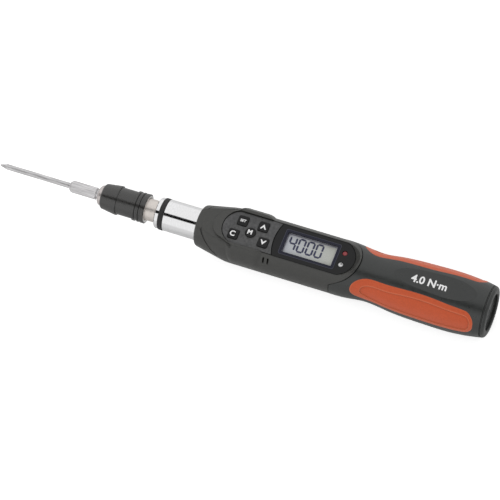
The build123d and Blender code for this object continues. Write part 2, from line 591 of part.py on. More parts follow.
# Cross pin through the shaft and the spindle's tenon
with BuildPart() as cross_pin:
    post((PIN_STATION, 0), PIN_RADIUS, RELIEF - SHAFT_RADIUS, SHAFT_RADIUS - RELIEF)
cross_pin.part.label = "cross_pin"
export_step(cross_pin.part, "parts/cross_pin.step")

# Strain gauges on the upper and lower flats of the gauge section
with BuildPart() as strain_gauges:
    gauge_middle = SHAFT_JOURNAL_REAR + GAUGE_LENGTH / 2
    film_length, film_width, film_thickness = GAUGE_FILM
    for flat in (GAUGE_SIDE / 2, -GAUGE_SIDE / 2 - film_thickness):
        box(gauge_middle - film_length / 2, gauge_middle + film_length / 2, film_width / 2, flat, flat + film_thickness)
strain_gauges.part.label = "strain_gauges"
export_step(strain_gauges.part, "parts/strain_gauges.step")

# Shaft bush pressed in the collar
bush_radius = SHAFT_RADIUS + RUNNING_FIT + BUSH_WALL
with BuildPart() as shaft_bush:
    ring(COLLAR_FRONT + BUSH_SETBACK, COLLAR_SPIGOT_REAR, SHAFT_RADIUS + RUNNING_FIT, bush_radius)
shaft_bush.part.label = "shaft_bush"
export_step(shaft_bush.part, "parts/shaft_bush.step")

# Front collar: chamfered plated cap with the seal's seat and a spigot in the barrel
with BuildPart() as front_collar:
    bush_bore = bush_radius + SEAT_FIT
    turn([(COLLAR_FRONT, bush_bore), (COLLAR_FRONT, COLLAR_RADIUS - COLLAR_CHAMFER),
          (COLLAR_FRONT + COLLAR_CHAMFER, COLLAR_RADIUS), (RING_FRONT, COLLAR_RADIUS),
          (RING_FRONT, RING_SEAT_RADIUS), (RING_REAR, RING_SEAT_RADIUS), (RING_REAR, TUBE_BORE_RADIUS - SEAT_FIT),
          (COLLAR_SPIGOT_REAR, TUBE_BORE_RADIUS - SEAT_FIT), (COLLAR_SPIGOT_REAR, bush_bore)])
front_collar.part.label = "front_collar"
export_step(front_collar.part, "parts/front_collar.step")

# Seal ring between collar and barrel, with rounded outer edges
with BuildPart() as seal_ring:
    ring(RING_FRONT + SEAT_FIT, RING_REAR - SEAT_FIT, RING_SEAT_RADIUS + SEAT_FIT, RING_RADIUS)
    fillet(seal_ring.edges().filter_by(GeomType.CIRCLE).sort_by(SortBy.RADIUS)[-2:], RING_ROUND)
seal_ring.part.label = "seal_ring"
export_step(seal_ring.part, "parts/seal_ring.step")

# Barrel
with BuildPart() as front_tube:
    ring(RING_REAR, TUBE_REAR, TUBE_BORE_RADIUS, TUBE_RADIUS)
    chamfer(front_tube.edges().filter_by(GeomType.CIRCLE).group_by(Axis.X)[0].sort_by(SortBy.RADIUS)[-1], EDGE_BREAK)
front_tube.part.label = "front_tube"
export_step(front_tube.part, "parts/front_tube.step")

# Cutter for the crease round the housing's nose
with BuildPart() as crease_cutter:
    run = Vector(CREASE_FOOT[0] - CREASE_TOP[0], CREASE_FOOT[1] - CREASE_TOP[1])
    step = run.normalized() * (CREASE_WIDTH / 2)
    side_cut([(CREASE_TOP[0] + step.Y, CREASE_TOP[1] - step.X), (CREASE_FOOT[0] + step.Y, CREASE_FOOT[1] - step.X),
              (CREASE_FOOT[0] - step.Y, CREASE_FOOT[1] + step.X), (CREASE_TOP[0] - step.Y, CREASE_TOP[1] + step.X)],
             Mode.ADD)
    turn([(HOUSING_FRONT - OVERCUT, 0), (HOUSING_FRONT - OVERCUT, HOUSING_NOSE_RADIUS - CREASE_DEPTH),
          (HOUSING_FLARE_REAR, BODY_RADIUS - CREASE_DEPTH), (PLATE_REAR, BODY_RADIUS - CREASE_DEPTH),
          (PLATE_REAR, 0)], Mode.SUBTRACT)

# Cutter for the nose's flattened top, round the ridge in front of the keypad
with BuildPart() as nose_cutter:
    side_cut([(HOUSING_FRONT - OVERCUT, NOSE_TOP), (RIDGE_REAR[0], NOSE_TOP_REAR), (RIDGE_REAR[0], FAR),
              (HOUSING_FRONT - OVERCUT, FAR)], Mode.ADD)
    with BuildSketch(deck(NOSE_TOP)) as ridge:
        with BuildLine():
            ThreePointArc((RIDGE_FLANK[0], RIDGE_FLANK[1]), (RIDGE_TIP, 0), (RIDGE_FLANK[0], -RIDGE_FLANK[1]))
            Polyline((RIDGE_FLANK[0], -RIDGE_FLANK[1]), (RIDGE_REAR[0], -RIDGE_REAR[1]), (RIDGE_REAR[0], RIDGE_REAR[1]),
                     (RIDGE_FLANK[0], RIDGE_FLANK[1]))
        make_face()
    extrude(ridge.sketch, amount=FAR, mode=Mode.SUBTRACT)

# Cutter for what lies behind the seam, which leaves the tongue round the display's rear end
with BuildPart() as seam_cutter:
    side_cut([(x - SEAM_GAP, z) for x, z in SEAM_PROFILE] + [(TOOL_LENGTH, -FAR), (TOOL_LENGTH, FAR)], Mode.ADD)
    extrude(tongue_outline(-SEAM_GAP, ROOF_UNDERSIDE), amount=FAR, mode=Mode.SUBTRACT)

# Hollow of the housing, below the tongue's floor at its rear
cavity_radius = BODY_RADIUS - WALL
with BuildPart() as cavity:
    turn([(CAVITY_FRONT, 0), (CAVITY_FRONT, cavity_radius - CAVITY_TAPER), (HUMP_FRONT[1], cavity_radius),
          (TONGUE_REAR, cavity_radius), (TONGUE_REAR, 0)])
    box(LED_STATION + LED_RADIUS + OVERCUT, TOOL_LENGTH, FAR, ROOF_UNDERSIDE, FAR, Mode.SUBTRACT)

# Housing: flared round body with raised keypad cheeks, cut down to the deck and hollowed
with BuildPart() as body_housing:
    with BuildSketch(SIDE) as body_profile:
        with BuildLine():
            Polyline((HOUSING_FRONT, 0), (HOUSING_FRONT, HOUSING_NOSE_RADIUS), (HOUSING_FLARE_REAR, BODY_RADIUS),
                     (TONGUE_REAR, BODY_RADIUS), (TONGUE_REAR, 0), close=True)
        make_face()
        fillet(body_profile.vertices().group_by(Axis.X)[1], FLARE_ROUND)
        fillet(body_profile.vertices().group_by(Axis.X)[0].sort_by(Axis.Y)[-1], HOUSING_NOSE_ROUND)
    revolve(body_profile.sketch, axis=TOOL_AXIS)
    hump_axis = Axis((0, 0, REST_DEPTH + HUMP_RISE), (1, 0, 0))
    with BuildSketch(SIDE) as hump_profile:
        with BuildLine():
            foot, crest = BODY_RADIUS - HUMP_SINK, BODY_RADIUS + HUMP_RISE + HUMP_SWELL
            front_middle, rear_middle = sum(HUMP_FRONT) / 2, sum(HUMP_REAR) / 2
            Bezier((HUMP_FRONT[0], foot), (front_middle, foot), (front_middle, crest), (HUMP_FRONT[1], crest))
            Line((HUMP_FRONT[1], crest), (HUMP_REAR[0], crest))
            Bezier((HUMP_REAR[0], crest), (rear_middle, crest), (rear_middle, foot), (HUMP_REAR[1], foot))
            Polyline((HUMP_REAR[1], foot), (HUMP_REAR[1], HUMP_RISE), (HUMP_FRONT[0], HUMP_RISE),
                     (HUMP_FRONT[0], foot))
        make_face()
    revolve(hump_profile.sketch, axis=hump_axis)
    # the top: sloped nose, rims beside the keypad, display deck
    rim_foot = LENS_TOP + LENS_SINK
    side_cut([(HOUSING_FRONT - OVERCUT, NOSE_TOP), (RIDGE_TIP, NOSE_TOP_REAR), (RIM_SPAN[0], RIM_TOP),
              (RIM_SPAN[1], RIM_TOP), (LENS_FRONT - SHOULDER_FOOT, rim_foot), (LENS_REAR_CORNER, rim_foot),
              (LENS_REAR_CORNER, FAR), (HOUSING_FRONT - OVERCUT, FAR)])
    add(nose_cutter.part, mode=Mode.SUBTRACT)
    # the shoulder behind the display
    extrude(lens_outline(SHOULDER_FOOT, rim_foot), amount=SHOULDER_RISE, taper=SHOULDER_TAPER, mode=Mode.SUBTRACT)
    # the underside flat and the seam to the handle
    side_cut([(HOUSING_FRONT - OVERCUT, -REST_DEPTH), (TOOL_LENGTH, -REST_DEPTH), (TOOL_LENGTH, -FAR),
              (HOUSING_FRONT - OVERCUT, -FAR)])
    add(seam_cutter.part, mode=Mode.SUBTRACT)
    # pockets for plate and bezel, barrel bore and cavity
    extrude(plate_outline(PLATE_GAP), amount=FAR, mode=Mode.SUBTRACT)
    extrude(lens_outline(LENS_GAP, LEDGE_LENS), amount=FAR / 8, mode=Mode.SUBTRACT)
    ring(HOUSING_FRONT - OVERCUT, TUBE_REAR, 0, TUBE_RADIUS + SEAT_FIT, Mode.SUBTRACT)
    ring(TUBE_REAR - RELIEF, CAVITY_FRONT + RELIEF, 0, TUBE_BORE_RADIUS, Mode.SUBTRACT)
    add(cavity.part, mode=Mode.SUBTRACT)
    add(crease_cutter.part, mode=Mode.SUBTRACT)
    # rails for the board, buzzer slits and screw holes
    for rail_front, rail_rear in RAIL_SPANS:
        for side in (-1, 1):
            rail_reach = (cavity_radius - BOARD_HALF_WIDTH) / 2 + RAIL_ROOT
            box(rail_front, rail_rear, rail_reach, BOARD_UNDERSIDE - RAIL_DEPTH, BOARD_UNDERSIDE,
                middle=side * (BOARD_HALF_WIDTH - RAIL_LAP + rail_reach))
    for station in SLIT_STATIONS:
        box(station - SLIT_SIZE[0] / 2, station + SLIT_SIZE[0] / 2, FAR / 4, SLIT_HEIGHT - SLIT_SIZE[1] / 2,
            SLIT_HEIGHT + SLIT_SIZE[1] / 2, Mode.SUBTRACT, middle=-PLATE_HALF_WIDTH - 2 * RELIEF - FAR / 4)
    for station in SCREW_STATIONS:
        post((station, 0), SCREW_HEAD_RADIUS + SEAT_FIT, -FAR, SCREW_SEAT, Mode.SUBTRACT)
        post((station, 0), SCREW_RADIUS + SEAT_FIT, -FAR, 0, Mode.SUBTRACT)
body_housing.part.label = "body_housing"
export_step(body_housing.part, "parts/body_housing.step")

# Keypad plate with a clear hole for each key
with BuildPart() as keypad_plate:
    extrude(plate_outline(0), amount=PLATE_THICKNESS)
    for name, place in KEY_PLACES.items():
        extrude(key_outline(name, KEY_PLAY, LEDGE_PLATE), amount=PLATE_THICKNESS, mode=Mode.SUBTRACT)
keypad_plate.part.label = "keypad_plate"
export_step(keypad_plate.part, "parts/keypad_plate.step")

# Keys: cap through the plate, flange below it and a stem over the switch
key_flange_top = LEDGE_PLATE - RUNNING_FIT
key_foot = BOARD_TOP + SWITCH_HEIGHT + PLUNGER_RISE + KEY_TRAVEL + RUNNING_FIT
for name, place in KEY_PLACES.items():
    with BuildPart() as button:
        extrude(key_outline(name, 0, key_flange_top), amount=PLATE_TOP + KEY_RISE - key_flange_top)
        fillet(button.faces().sort_by(Axis.Z)[-1].edges(), KEY_ROUND)
        extrude(key_outline(name, KEY_FLANGE, key_flange_top), amount=-KEY_FLANGE_THICKNESS)
        post(place, PLUNGER_RADIUS, key_foot, key_flange_top)
    button.part.label = name
    export_step(button.part, f"parts/{name}.step")

# Switches on the board, one under each key
with BuildPart() as key_switches:
    for place in KEY_PLACES.values():
        box(place[0] - SWITCH_SIZE / 2, place[0] + SWITCH_SIZE / 2, SWITCH_SIZE / 2, BOARD_TOP,
            BOARD_TOP + SWITCH_HEIGHT, middle=place[1])
        post(place, PLUNGER_RADIUS, BOARD_TOP, BOARD_TOP + SWITCH_HEIGHT + PLUNGER_RISE)
key_switches.part.label = "key_switches"
export_step(key_switches.part, "parts/key_switches.step")

# Display bezel with its window, the pane's rebate and the lamp holes
pane_lip = (WINDOW_FRONT - WINDOW_LIP, WINDOW_REAR + WINDOW_LIP, WINDOW_HALF_WIDTH + WINDOW_LIP)
with BuildPart() as display_bezel:
    extrude(lens_outline(0, LEDGE_LENS), amount=LENS_THICKNESS)
    chamfer(display_bezel.faces().sort_by(Axis.Z)[-1].edges(), EDGE_BREAK)
    box(WINDOW_FRONT, WINDOW_REAR, WINDOW_HALF_WIDTH, LEDGE_LENS, FAR, Mode.SUBTRACT)
    box(*pane_lip, LEDGE_LENS, LEDGE_LENS + PANE_THICKNESS + SEAT_FIT, Mode.SUBTRACT)
    for place in LED_PLACES.values():
        post(place, LED_RADIUS + RUNNING_FIT, LEDGE_LENS, FAR, Mode.SUBTRACT)
display_bezel.part.label = "display_bezel"
export_step(display_bezel.part, "parts/display_bezel.step")

# Clear pane in the bezel's rebate
with BuildPart() as display_window:
    box(pane_lip[0] + SEAT_FIT, pane_lip[1] - SEAT_FIT, pane_lip[2] - SEAT_FIT, LEDGE_LENS,
        LEDGE_LENS + PANE_THICKNESS)
display_window.part.label = "display_window"
export_step(display_window.part, "parts/display_window.step")

# Display module on its holder
lcd_top = LEDGE_LENS - RUNNING_FIT
lcd_front, lcd_rear = WINDOW_FRONT - LCD_MARGIN, WINDOW_REAR + LCD_MARGIN
lcd_half_width = WINDOW_HALF_WIDTH + LCD_MARGIN
with BuildPart() as lcd_module:
    box(lcd_front, lcd_rear, lcd_half_width, lcd_top - LCD_THICKNESS, lcd_top)
lcd_module.part.label = "lcd_module"
export_step(lcd_module.part, "parts/lcd_module.step")

with BuildPart() as lcd_holder:
    box(lcd_front, lcd_rear, lcd_half_width, BOARD_TOP, lcd_top - LCD_THICKNESS)
lcd_holder.part.label = "lcd_holder"
export_step(lcd_holder.part, "parts/lcd_holder.step")

# Lamps: domed posts from the board into the bezel
for name, place in LED_PLACES.items():
    with BuildPart() as lamp:
        post(place, LED_RADIUS, BOARD_TOP, LENS_TOP - 2 * RUNNING_FIT)
        fillet(lamp.faces().sort_by(Axis.Z)[-1].edges(), LED_ROUND)
    lamp.part.label = name
    export_step(lamp.part, f"parts/{name}.step")

# Circuit board on the housing's rails
with BuildPart() as circuit_board:
    box(*BOARD_SPAN, BOARD_HALF_WIDTH, BOARD_UNDERSIDE, BOARD_TOP)
    fillet(circuit_board.edges().filter_by(Axis.Z), BOARD_CORNER)
circuit_board.part.label = "circuit_board"
export_step(circuit_board.part, "parts/circuit_board.step")

# Buzzer beside the slits
with BuildPart() as buzzer:
    box(BUZZER_PLACE[0] - BUZZER_SIZE[0] / 2, BUZZER_PLACE[0] + BUZZER_SIZE[0] / 2, BUZZER_SIZE[1] / 2, BOARD_TOP,
        BOARD_TOP + BUZZER_SIZE[2], middle=BUZZER_PLACE[1])
    chamfer(buzzer.edges().filter_by(Axis.Z), BUZZER_BEVEL)
buzzer.part.label = "buzzer"
export_step(buzzer.part, "parts/buzzer.step")

# Screws from the underside into the handle's spigot
with BuildPart() as housing_screws:
    for station in SCREW_STATIONS:
        post((station, 0), SCREW_HEAD_RADIUS, SCREW_SEAT - SCREW_HEAD_HEIGHT, SCREW_SEAT)
        post((station, 0), SCREW_RADIUS, SCREW_SEAT, SCREW_SEAT + SCREW_LENGTH)
        with BuildSketch(deck(SCREW_SEAT - SCREW_HEAD_HEIGHT)) as recess:
            with Locations((station, 0)):
                Rectangle(SCREW_CROSS[0], SCREW_CROSS[1])
                Rectangle(SCREW_CROSS[1], SCREW_CROSS[0])
        extrude(recess.sketch, amount=SCREW_CROSS[2], mode=Mode.SUBTRACT)
housing_screws.part.label = "housing_screws"
export_step(housing_screws.part, "parts/housing_screws.step")

# Pocket and blank for a grip pad on the near side
with BuildPart() as pad_pocket:
    revolve(handle_outline(-OVERCUT / 2), axis=TOOL_AXIS)
    revolve(handle_outline(PAD_DEPTH), axis=TOOL_AXIS, mode=Mode.SUBTRACT)
    extrude(pad_outline(0), amount=FAR, mode=Mode.INTERSECT)
with BuildPart() as pad_blank:
    revolve(handle_outline(0), axis=TOOL_AXIS)
    revolve(handle_outline(PAD_DEPTH), axis=TOOL_AXIS, mode=Mode.SUBTRACT)
    extrude(pad_outline(0), amount=FAR, mode=Mode.INTERSECT)
with BuildPart() as field_cutter:
    revolve(handle_outline(-OVERCUT / 2), axis=TOOL_AXIS)
    revolve(handle_outline(PAD_FIELD_DEPTH), axis=TOOL_AXIS, mode=Mode.SUBTRACT)
    extrude(pad_outline(PAD_RIM, PAD_RIM_NOSE), amount=FAR, mode=Mode.INTERSECT)

# Grip pads: a rim round a slightly sunk field
with BuildPart() as grip_pad_right:
    add(pad_blank.part)
    add(field_cutter.part, mode=Mode.SUBTRACT)
grip_pad_right.part.label = "grip_pad_right"
export_step(grip_pad_right.part, "parts/grip_pad_right.step")

with BuildPart() as grip_pad_left:
    mirror(grip_pad_right.part, about=Plane.XZ)
grip_pad_left.part.label = "grip_pad_left"
export_step(grip_pad_left.part, "parts/grip_pad_left.step")

# Handle: waisted grip with a spigot in the housing, the cell bay and the cap's bayonet
with BuildPart() as handle_body:
    spigot_radius = BODY_RADIUS - WALL - RUNNING_FIT
    revolve(handle_outline(0), axis=TOOL_AXIS)
    side_cut(SEAM_PROFILE + [(0, -FAR), (0, FAR)])
    ring(SPIGOT_FRONT, ELECTRICS_REAR, 0, spigot_radius, Mode.SUBTRACT)
    with BuildSketch(cross(SPIGOT_FRONT)) as spigot:
        Circle(spigot_radius)
        Circle(spigot_radius - SPIGOT_WALL, mode=Mode.SUBTRACT)
        with Locations((0, SPIGOT_TOP + FAR)):
            Rectangle(2 * FAR, 2 * FAR, mode=Mode.SUBTRACT)
    extrude(spigot.sketch, amount=ELECTRICS_REAR - SPIGOT_FRONT)
    side_cut([(0, -REST_DEPTH), (TOOL_LENGTH, -REST_DEPTH), (TOOL_LENGTH, -FAR), (0, -FAR)])
    extrude(tongue_outline(0, ROOF_UNDERSIDE - SEAM_GAP), amount=FAR, mode=Mode.SUBTRACT)
    add(pad_pocket.part, mode=Mode.SUBTRACT)
    mirror(pad_pocket.part, about=Plane.XZ, mode=Mode.SUBTRACT)
    # cell bay, cap bore, bayonet groove and its entry slots
    extrude(bay_outline(CONTACT_BOARD_FRONT, BAY_PLAY), amount=CAP_SPIGOT_FRONT - CONTACT_BOARD_FRONT,
            mode=Mode.SUBTRACT)
    ring(CAP_SPIGOT_FRONT - OVERCUT, TOOL_LENGTH, 0, CAP_SPIGOT_RADIUS + RUNNING_FIT, Mode.SUBTRACT)
    ring(CAP_LUG[0] - RUNNING_FIT, CAP_LUG[1] + RUNNING_FIT, 0, CAP_SPIGOT_RADIUS + CAP_LUG_REACH + RUNNING_FIT,
         Mode.SUBTRACT)
    extrude(lug_outline(CAP_LUG[0], CAP_SLOT_ANGLE, CAP_TURN, CAP_LUG_REACH + RUNNING_FIT),
            amount=TOOL_LENGTH - CAP_LUG[0], mode=Mode.SUBTRACT)
    for station in SCREW_STATIONS:
        post((station, 0), SCREW_RADIUS, -FAR, SCREW_SEAT + SCREW_LENGTH + RELIEF, Mode.SUBTRACT)
handle_body.part.label = "handle_body"
export_step(handle_body.part, "parts/handle_body.step")

# Cells side by side, one turned end for end
with BuildPart() as battery_cells:
    for side, nub_at_rear in ((-1, True), (1, False)):
        nub_station = CELL_FRONT + CELL_LENGTH if nub_at_rear else CELL_FRONT - NUB_LENGTH
        for station, radius, length in ((CELL_FRONT, CELL_RADIUS, CELL_LENGTH), (nub_station, NUB_RADIUS, NUB_LENGTH)):
            with BuildSketch(cross(station)) as disc:
                with Locations((side * CELL_OFFSET, 0)):
                    Circle(radius)
            extrude(disc.sketch, amount=length)
battery_cells.part.label = "battery_cells"
export_step(battery_cells.part, "parts/battery_cells.step")

# Contact board at the front of the bay, with a coil for each cell
with BuildPart() as contact_board:
    extrude(bay_outline(CONTACT_BOARD_FRONT, BAY_PLAY - RUNNING_FIT), amount=CONTACT_BOARD_THICKNESS)
contact_board.part.label = "contact_board"
export_step(contact_board.part, "parts/contact_board.step")

with BuildPart() as contact_springs:
    coil_start = CONTACT_BOARD_FRONT + CONTACT_BOARD_THICKNESS + CONTACT_WIRE / 2
    for side, reach in ((-1, 0.0), (1, -NUB_LENGTH)):
        coil_length = CELL_FRONT + reach - CONTACT_WIRE / 2 - coil_start
        with BuildLine() as contact_coil:
            Helix(pitch=coil_length / CONTACT_TURNS, height=coil_length, radius=CONTACT_COIL_RADIUS,
                  center=(NOSE_X + coil_start, side * CELL_OFFSET, REST_DEPTH), direction=(1, 0, 0))
        with BuildSketch(Plane(origin=contact_coil.line @ 0, x_dir=(1, 0, 0), z_dir=contact_coil.line % 0)) as wire:
            Rectangle(CONTACT_WIRE, CONTACT_WIRE)
        sweep(wire.sketch, path=contact_coil.line, is_frenet=True)
contact_springs.part.label = "contact_springs"
export_step(contact_springs.part, "parts/contact_springs.step")

# End cap: cupped rounded rim, fine rings, spigot with bayonet lugs and the seal's groove
with BuildPart() as end_cap:
    cap_front = HANDLE_TAIL[0] + CAP_GAP
    spigot_bottom = CAP_SPIGOT_RADIUS - CAP_RING_DEPTH
    with BuildSketch(SIDE) as cap_profile:
        with BuildLine():
            Polyline((CAP_SPIGOT_FRONT, 0), (CAP_SPIGOT_FRONT, CAP_SPIGOT_RADIUS), (CAP_RING_GROOVE[0], CAP_SPIGOT_RADIUS),
                     (CAP_RING_GROOVE[0], spigot_bottom), (CAP_RING_GROOVE[1], spigot_bottom),
                     (CAP_RING_GROOVE[1], CAP_SPIGOT_RADIUS), (cap_front, CAP_SPIGOT_RADIUS),
                     (cap_front, CAP_RADIUS), (TOOL_LENGTH, CAP_END_RADIUS),
                     (TOOL_LENGTH, 0), close=True)
        make_face()
        fillet(cap_profile.vertices().group_by(Axis.X)[-1].sort_by(Axis.Y)[-1], CAP_RIM_ROUND)
    revolve(cap_profile.sketch, axis=TOOL_AXIS)
    ring(TOOL_LENGTH - CAP_CUP_DEPTH, TOOL_LENGTH, 0, CAP_CUP_RADIUS, Mode.SUBTRACT)
    fillet(end_cap.edges().filter_by(GeomType.CIRCLE).group_by(Axis.X)[-1], CAP_CUP_ROUND)
    ring(TOOL_LENGTH - CAP_CUP_DEPTH - CAP_HOLE_DEPTH, TOOL_LENGTH, 0, CAP_HOLE_RADIUS, Mode.SUBTRACT)
    groove_front = cap_front + CAP_GROOVE[0]
    ring(groove_front, groove_front + CAP_GROOVE[1], CAP_END_RADIUS - CAP_GROOVE[2], FAR, Mode.SUBTRACT)
    extrude(lug_outline(CAP_LUG[0], CAP_LUG_ANGLE, 0, CAP_LUG_REACH), amount=CAP_LUG[1] - CAP_LUG[0])
end_cap.part.label = "end_cap"
export_step(end_cap.part, "parts/end_cap.step")

# Seal in the cap's groove
with BuildPart() as cap_seal:
    ring(CAP_RING_GROOVE[0] + SEAT_FIT, CAP_RING_GROOVE[1] - SEAT_FIT, spigot_bottom + SEAT_FIT,
         CAP_SPIGOT_RADIUS + RUNNING_FIT / 2)
cap_seal.part.label = "cap_seal"
export_step(cap_seal.part, "parts/cap_seal.step")

# Contact strip that joins the two cells, on the cap's spigot
with BuildPart() as cap_contact:
    ring(CAP_SPIGOT_FRONT - CAP_CONTACT_THICKNESS, CAP_SPIGOT_FRONT, 0, CAP_CONTACT_RADIUS)
cap_contact.part.label = "cap_contact"
export_step(cap_contact.part, "parts/cap_contact.step")
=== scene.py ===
"""Looks, stage and camera for the digital torque screwdriver, in metres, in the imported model's frame."""
import json
import math

import bmesh
import bpy
from mathutils import Matrix, Vector
from mathutils.bvhtree import BVHTree


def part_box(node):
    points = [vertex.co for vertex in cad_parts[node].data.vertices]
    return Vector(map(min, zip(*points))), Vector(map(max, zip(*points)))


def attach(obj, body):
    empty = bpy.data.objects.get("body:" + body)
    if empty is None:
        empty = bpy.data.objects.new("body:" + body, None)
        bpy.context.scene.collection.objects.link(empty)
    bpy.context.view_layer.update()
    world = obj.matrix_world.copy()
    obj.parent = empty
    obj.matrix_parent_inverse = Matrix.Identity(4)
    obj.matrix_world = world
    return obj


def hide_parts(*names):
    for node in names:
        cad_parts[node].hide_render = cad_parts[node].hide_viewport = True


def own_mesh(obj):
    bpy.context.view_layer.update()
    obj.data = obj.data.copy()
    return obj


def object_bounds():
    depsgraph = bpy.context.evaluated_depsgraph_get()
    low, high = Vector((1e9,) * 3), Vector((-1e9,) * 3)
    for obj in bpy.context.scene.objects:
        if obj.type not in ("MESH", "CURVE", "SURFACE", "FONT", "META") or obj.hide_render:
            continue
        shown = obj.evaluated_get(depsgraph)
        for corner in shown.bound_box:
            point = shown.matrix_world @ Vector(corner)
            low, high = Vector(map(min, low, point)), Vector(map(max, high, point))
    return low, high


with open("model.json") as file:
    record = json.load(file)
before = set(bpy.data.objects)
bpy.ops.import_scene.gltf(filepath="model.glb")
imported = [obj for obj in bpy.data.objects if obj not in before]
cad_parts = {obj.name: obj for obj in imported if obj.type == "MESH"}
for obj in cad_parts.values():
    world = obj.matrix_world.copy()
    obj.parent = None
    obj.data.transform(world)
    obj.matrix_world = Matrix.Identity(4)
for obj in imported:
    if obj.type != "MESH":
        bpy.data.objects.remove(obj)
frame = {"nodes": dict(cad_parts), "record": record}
cad_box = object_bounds()
nodes = frame["nodes"]
MM = 0.001

# The photograph's view, read from the tool's projected axis and cross-sections
PHOTO_SIZE = 500                 # pixels along each side
AXIS_TILT = math.radians(13.8)   # handle end leans toward the camera
AXIS_ROLL = math.radians(23.0)   # display turns away from the camera about the tool's axis
AXIS_SLOPE = math.radians(16.8)  # slope of the axis in the picture, down to the right
CAMERA_DISTANCE = 1.8
PIXELS_PER_METRE = 1825.0        # at the anchor point
ANCHOR_PIXEL = (250.5, 240.0)    # where the anchor point shows
ANCHOR_FROM_NOSE = 0.0898        # the anchor point, on the axis behind the spindle nose

# Places taken from the frame
axis_height = (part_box("front_tube")[0].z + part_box("front_tube")[1].z) / 2
nose_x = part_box("chuck_spindle")[0].x
anchor = Vector((nose_x + ANCHOR_FROM_NOSE, 0, axis_height))


# Materials

def new_material(name):
    """A material with its Principled shader and an object-space coordinate."""
    material = bpy.data.materials.new(name)
    material.use_nodes = True
    tree = material.node_tree
    shader = tree.nodes["Principled BSDF"]
    coordinate = tree.nodes.new("ShaderNodeTexCoord").outputs["Object"]
    return material, tree, shader, coordinate


def noise(tree, coordinate, scale, detail=2.0, stretch=(1, 1, 1)):
    """Noise value over the object, with a size per metre and a stretch along its axes."""
    mapping = tree.nodes.new("ShaderNodeMapping")
    mapping.inputs["Scale"].default_value = stretch
    texture = tree.nodes.new("ShaderNodeTexNoise")
    texture.inputs["Scale"].default_value = scale
    texture.inputs["Detail"].default_value = detail
    tree.links.new(coordinate, mapping.inputs["Vector"])
    tree.links.new(mapping.outputs["Vector"], texture.inputs["Vector"])
    return texture.outputs["Fac"]


def spread(tree, value, low, high):
    """Map a noise value onto a range."""
    ramp = tree.nodes.new("ShaderNodeMapRange")
    ramp.inputs["From Min"].default_value = 0.3
    ramp.inputs["From Max"].default_value = 0.7
    ramp.inputs["To Min"].default_value = low
    ramp.inputs["To Max"].default_value = high
    tree.links.new(value, ramp.inputs["Value"])
    return ramp.outputs["Result"]


def tint(tree, value, dark, light):
    """Colour between two tones, by a noise value."""
    ramp = tree.nodes.new("ShaderNodeValToRGB")
    ramp.color_ramp.elements[0].position = 0.35
    ramp.color_ramp.elements[1].position = 0.65
    ramp.color_ramp.elements[0].color = (*dark, 1)
    ramp.color_ramp.elements[1].color = (*light, 1)
    tree.links.new(value, ramp.inputs["Fac"])
    return ramp.outputs["Color"]


def rough_up(tree, shader, value, strength, distance, edge=0.0):
    """Bump from a noise value, on normals that round the edges by a small radius."""
    bump = tree.nodes.new("ShaderNodeBump")
    bump.inputs["Strength"].default_value = strength
    bump.inputs["Distance"].default_value = distance
    tree.links.new(value, bump.inputs["Height"])
    if edge:
        bevel = tree.nodes.new("ShaderNodeBevel")
        bevel.samples = 6
        bevel.inputs["Radius"].default_value = edge
        tree.links.new(bevel.outputs["Normal"], bump.inputs["Normal"])
    tree.links.new(bump.outputs["Normal"], shader.inputs["Normal"])


def dimmed(tree, base, factor):
    """A base colour times a factor from another node."""
    scale = tree.nodes.new("ShaderNodeVectorMath")
    scale.operation = "SCALE"
    tree.links.new(base, scale.inputs[0])
    tree.links.new(factor, scale.inputs["Scale"])
    return scale.outputs["Vector"]


def painted_face_shade(tree, base, coordinate, height):
    """A base colour with painted shade on the level face planed at a height, a little darker there for how light
    falls on it.
    """
    parts = tree.nodes.new("ShaderNodeSeparateXYZ")
    tone = tree.nodes.new("ShaderNodeMapRange")
    tone.inputs["From Min"].default_value = height - LABEL_BORDER[0]
    tone.inputs["From Max"].default_value = height - LABEL_BORDER[1]
    tone.inputs["To Min"].default_value = 1.0
    tone.inputs["To Max"].default_value = LABEL_FACE_SHADE
    tree.links.new(coordinate, parts.inputs["Vector"])
    tree.links.new(parts.outputs["Z"], tone.inputs["Value"])
    return dimmed(tree, base, tone.outputs["Result"])


def painted_crease_shade(tree, base, strength, reach):
    """Painted shade: a base colour that darkens within a short reach of gaps and inner corners, where shade falls."""
    shelter = tree.nodes.new("ShaderNodeAmbientOcclusion")
    shelter.samples = 8
    shelter.inputs["Distance"].default_value = reach
    level = tree.nodes.new("ShaderNodeMapRange")
    level.inputs["From Min"].default_value = 0.35
    level.inputs["From Max"].default_value = 0.95
    level.inputs["To Min"].default_value = 1 - strength
    level.inputs["To Max"].default_value = 1.0
    tree.links.new(shelter.outputs["AO"], level.inputs["Value"])
    return dimmed(tree, base, level.outputs["Result"])


def painted_edge_highlight_and_shade(tree, base, rim_colour, reach):
    """A base colour that turns to a rim colour within a short reach of the edges: a painted highlight where the rim
    colour is lighter, painted shade where it is darker.
    """
    bevel = tree.nodes.new("ShaderNodeBevel")
    bevel.samples = 8
    bevel.inputs["Radius"].default_value = reach
    plain = tree.nodes.new("ShaderNodeNewGeometry")
    turn = tree.nodes.new("ShaderNodeVectorMath")
    turn.operation = "DOT_PRODUCT"
    mask = tree.nodes.new("ShaderNodeMapRange")
    mask.inputs["From Min"].default_value = 0.995
    mask.inputs["From Max"].default_value = 0.9
    mix = tree.nodes.new("ShaderNodeMix")
    mix.data_type = "RGBA"
    mix.inputs[7].default_value = (*rim_colour, 1)
    tree.links.new(bevel.outputs["Normal"], turn.inputs[0])
    tree.links.new(plain.outputs["Normal"], turn.inputs[1])
    tree.links.new(turn.outputs["Value"], mask.inputs["Value"])
    tree.links.new(mask.outputs["Result"], mix.inputs[0])
    tree.links.new(base, mix.inputs[6])
    return mix.outputs[2]


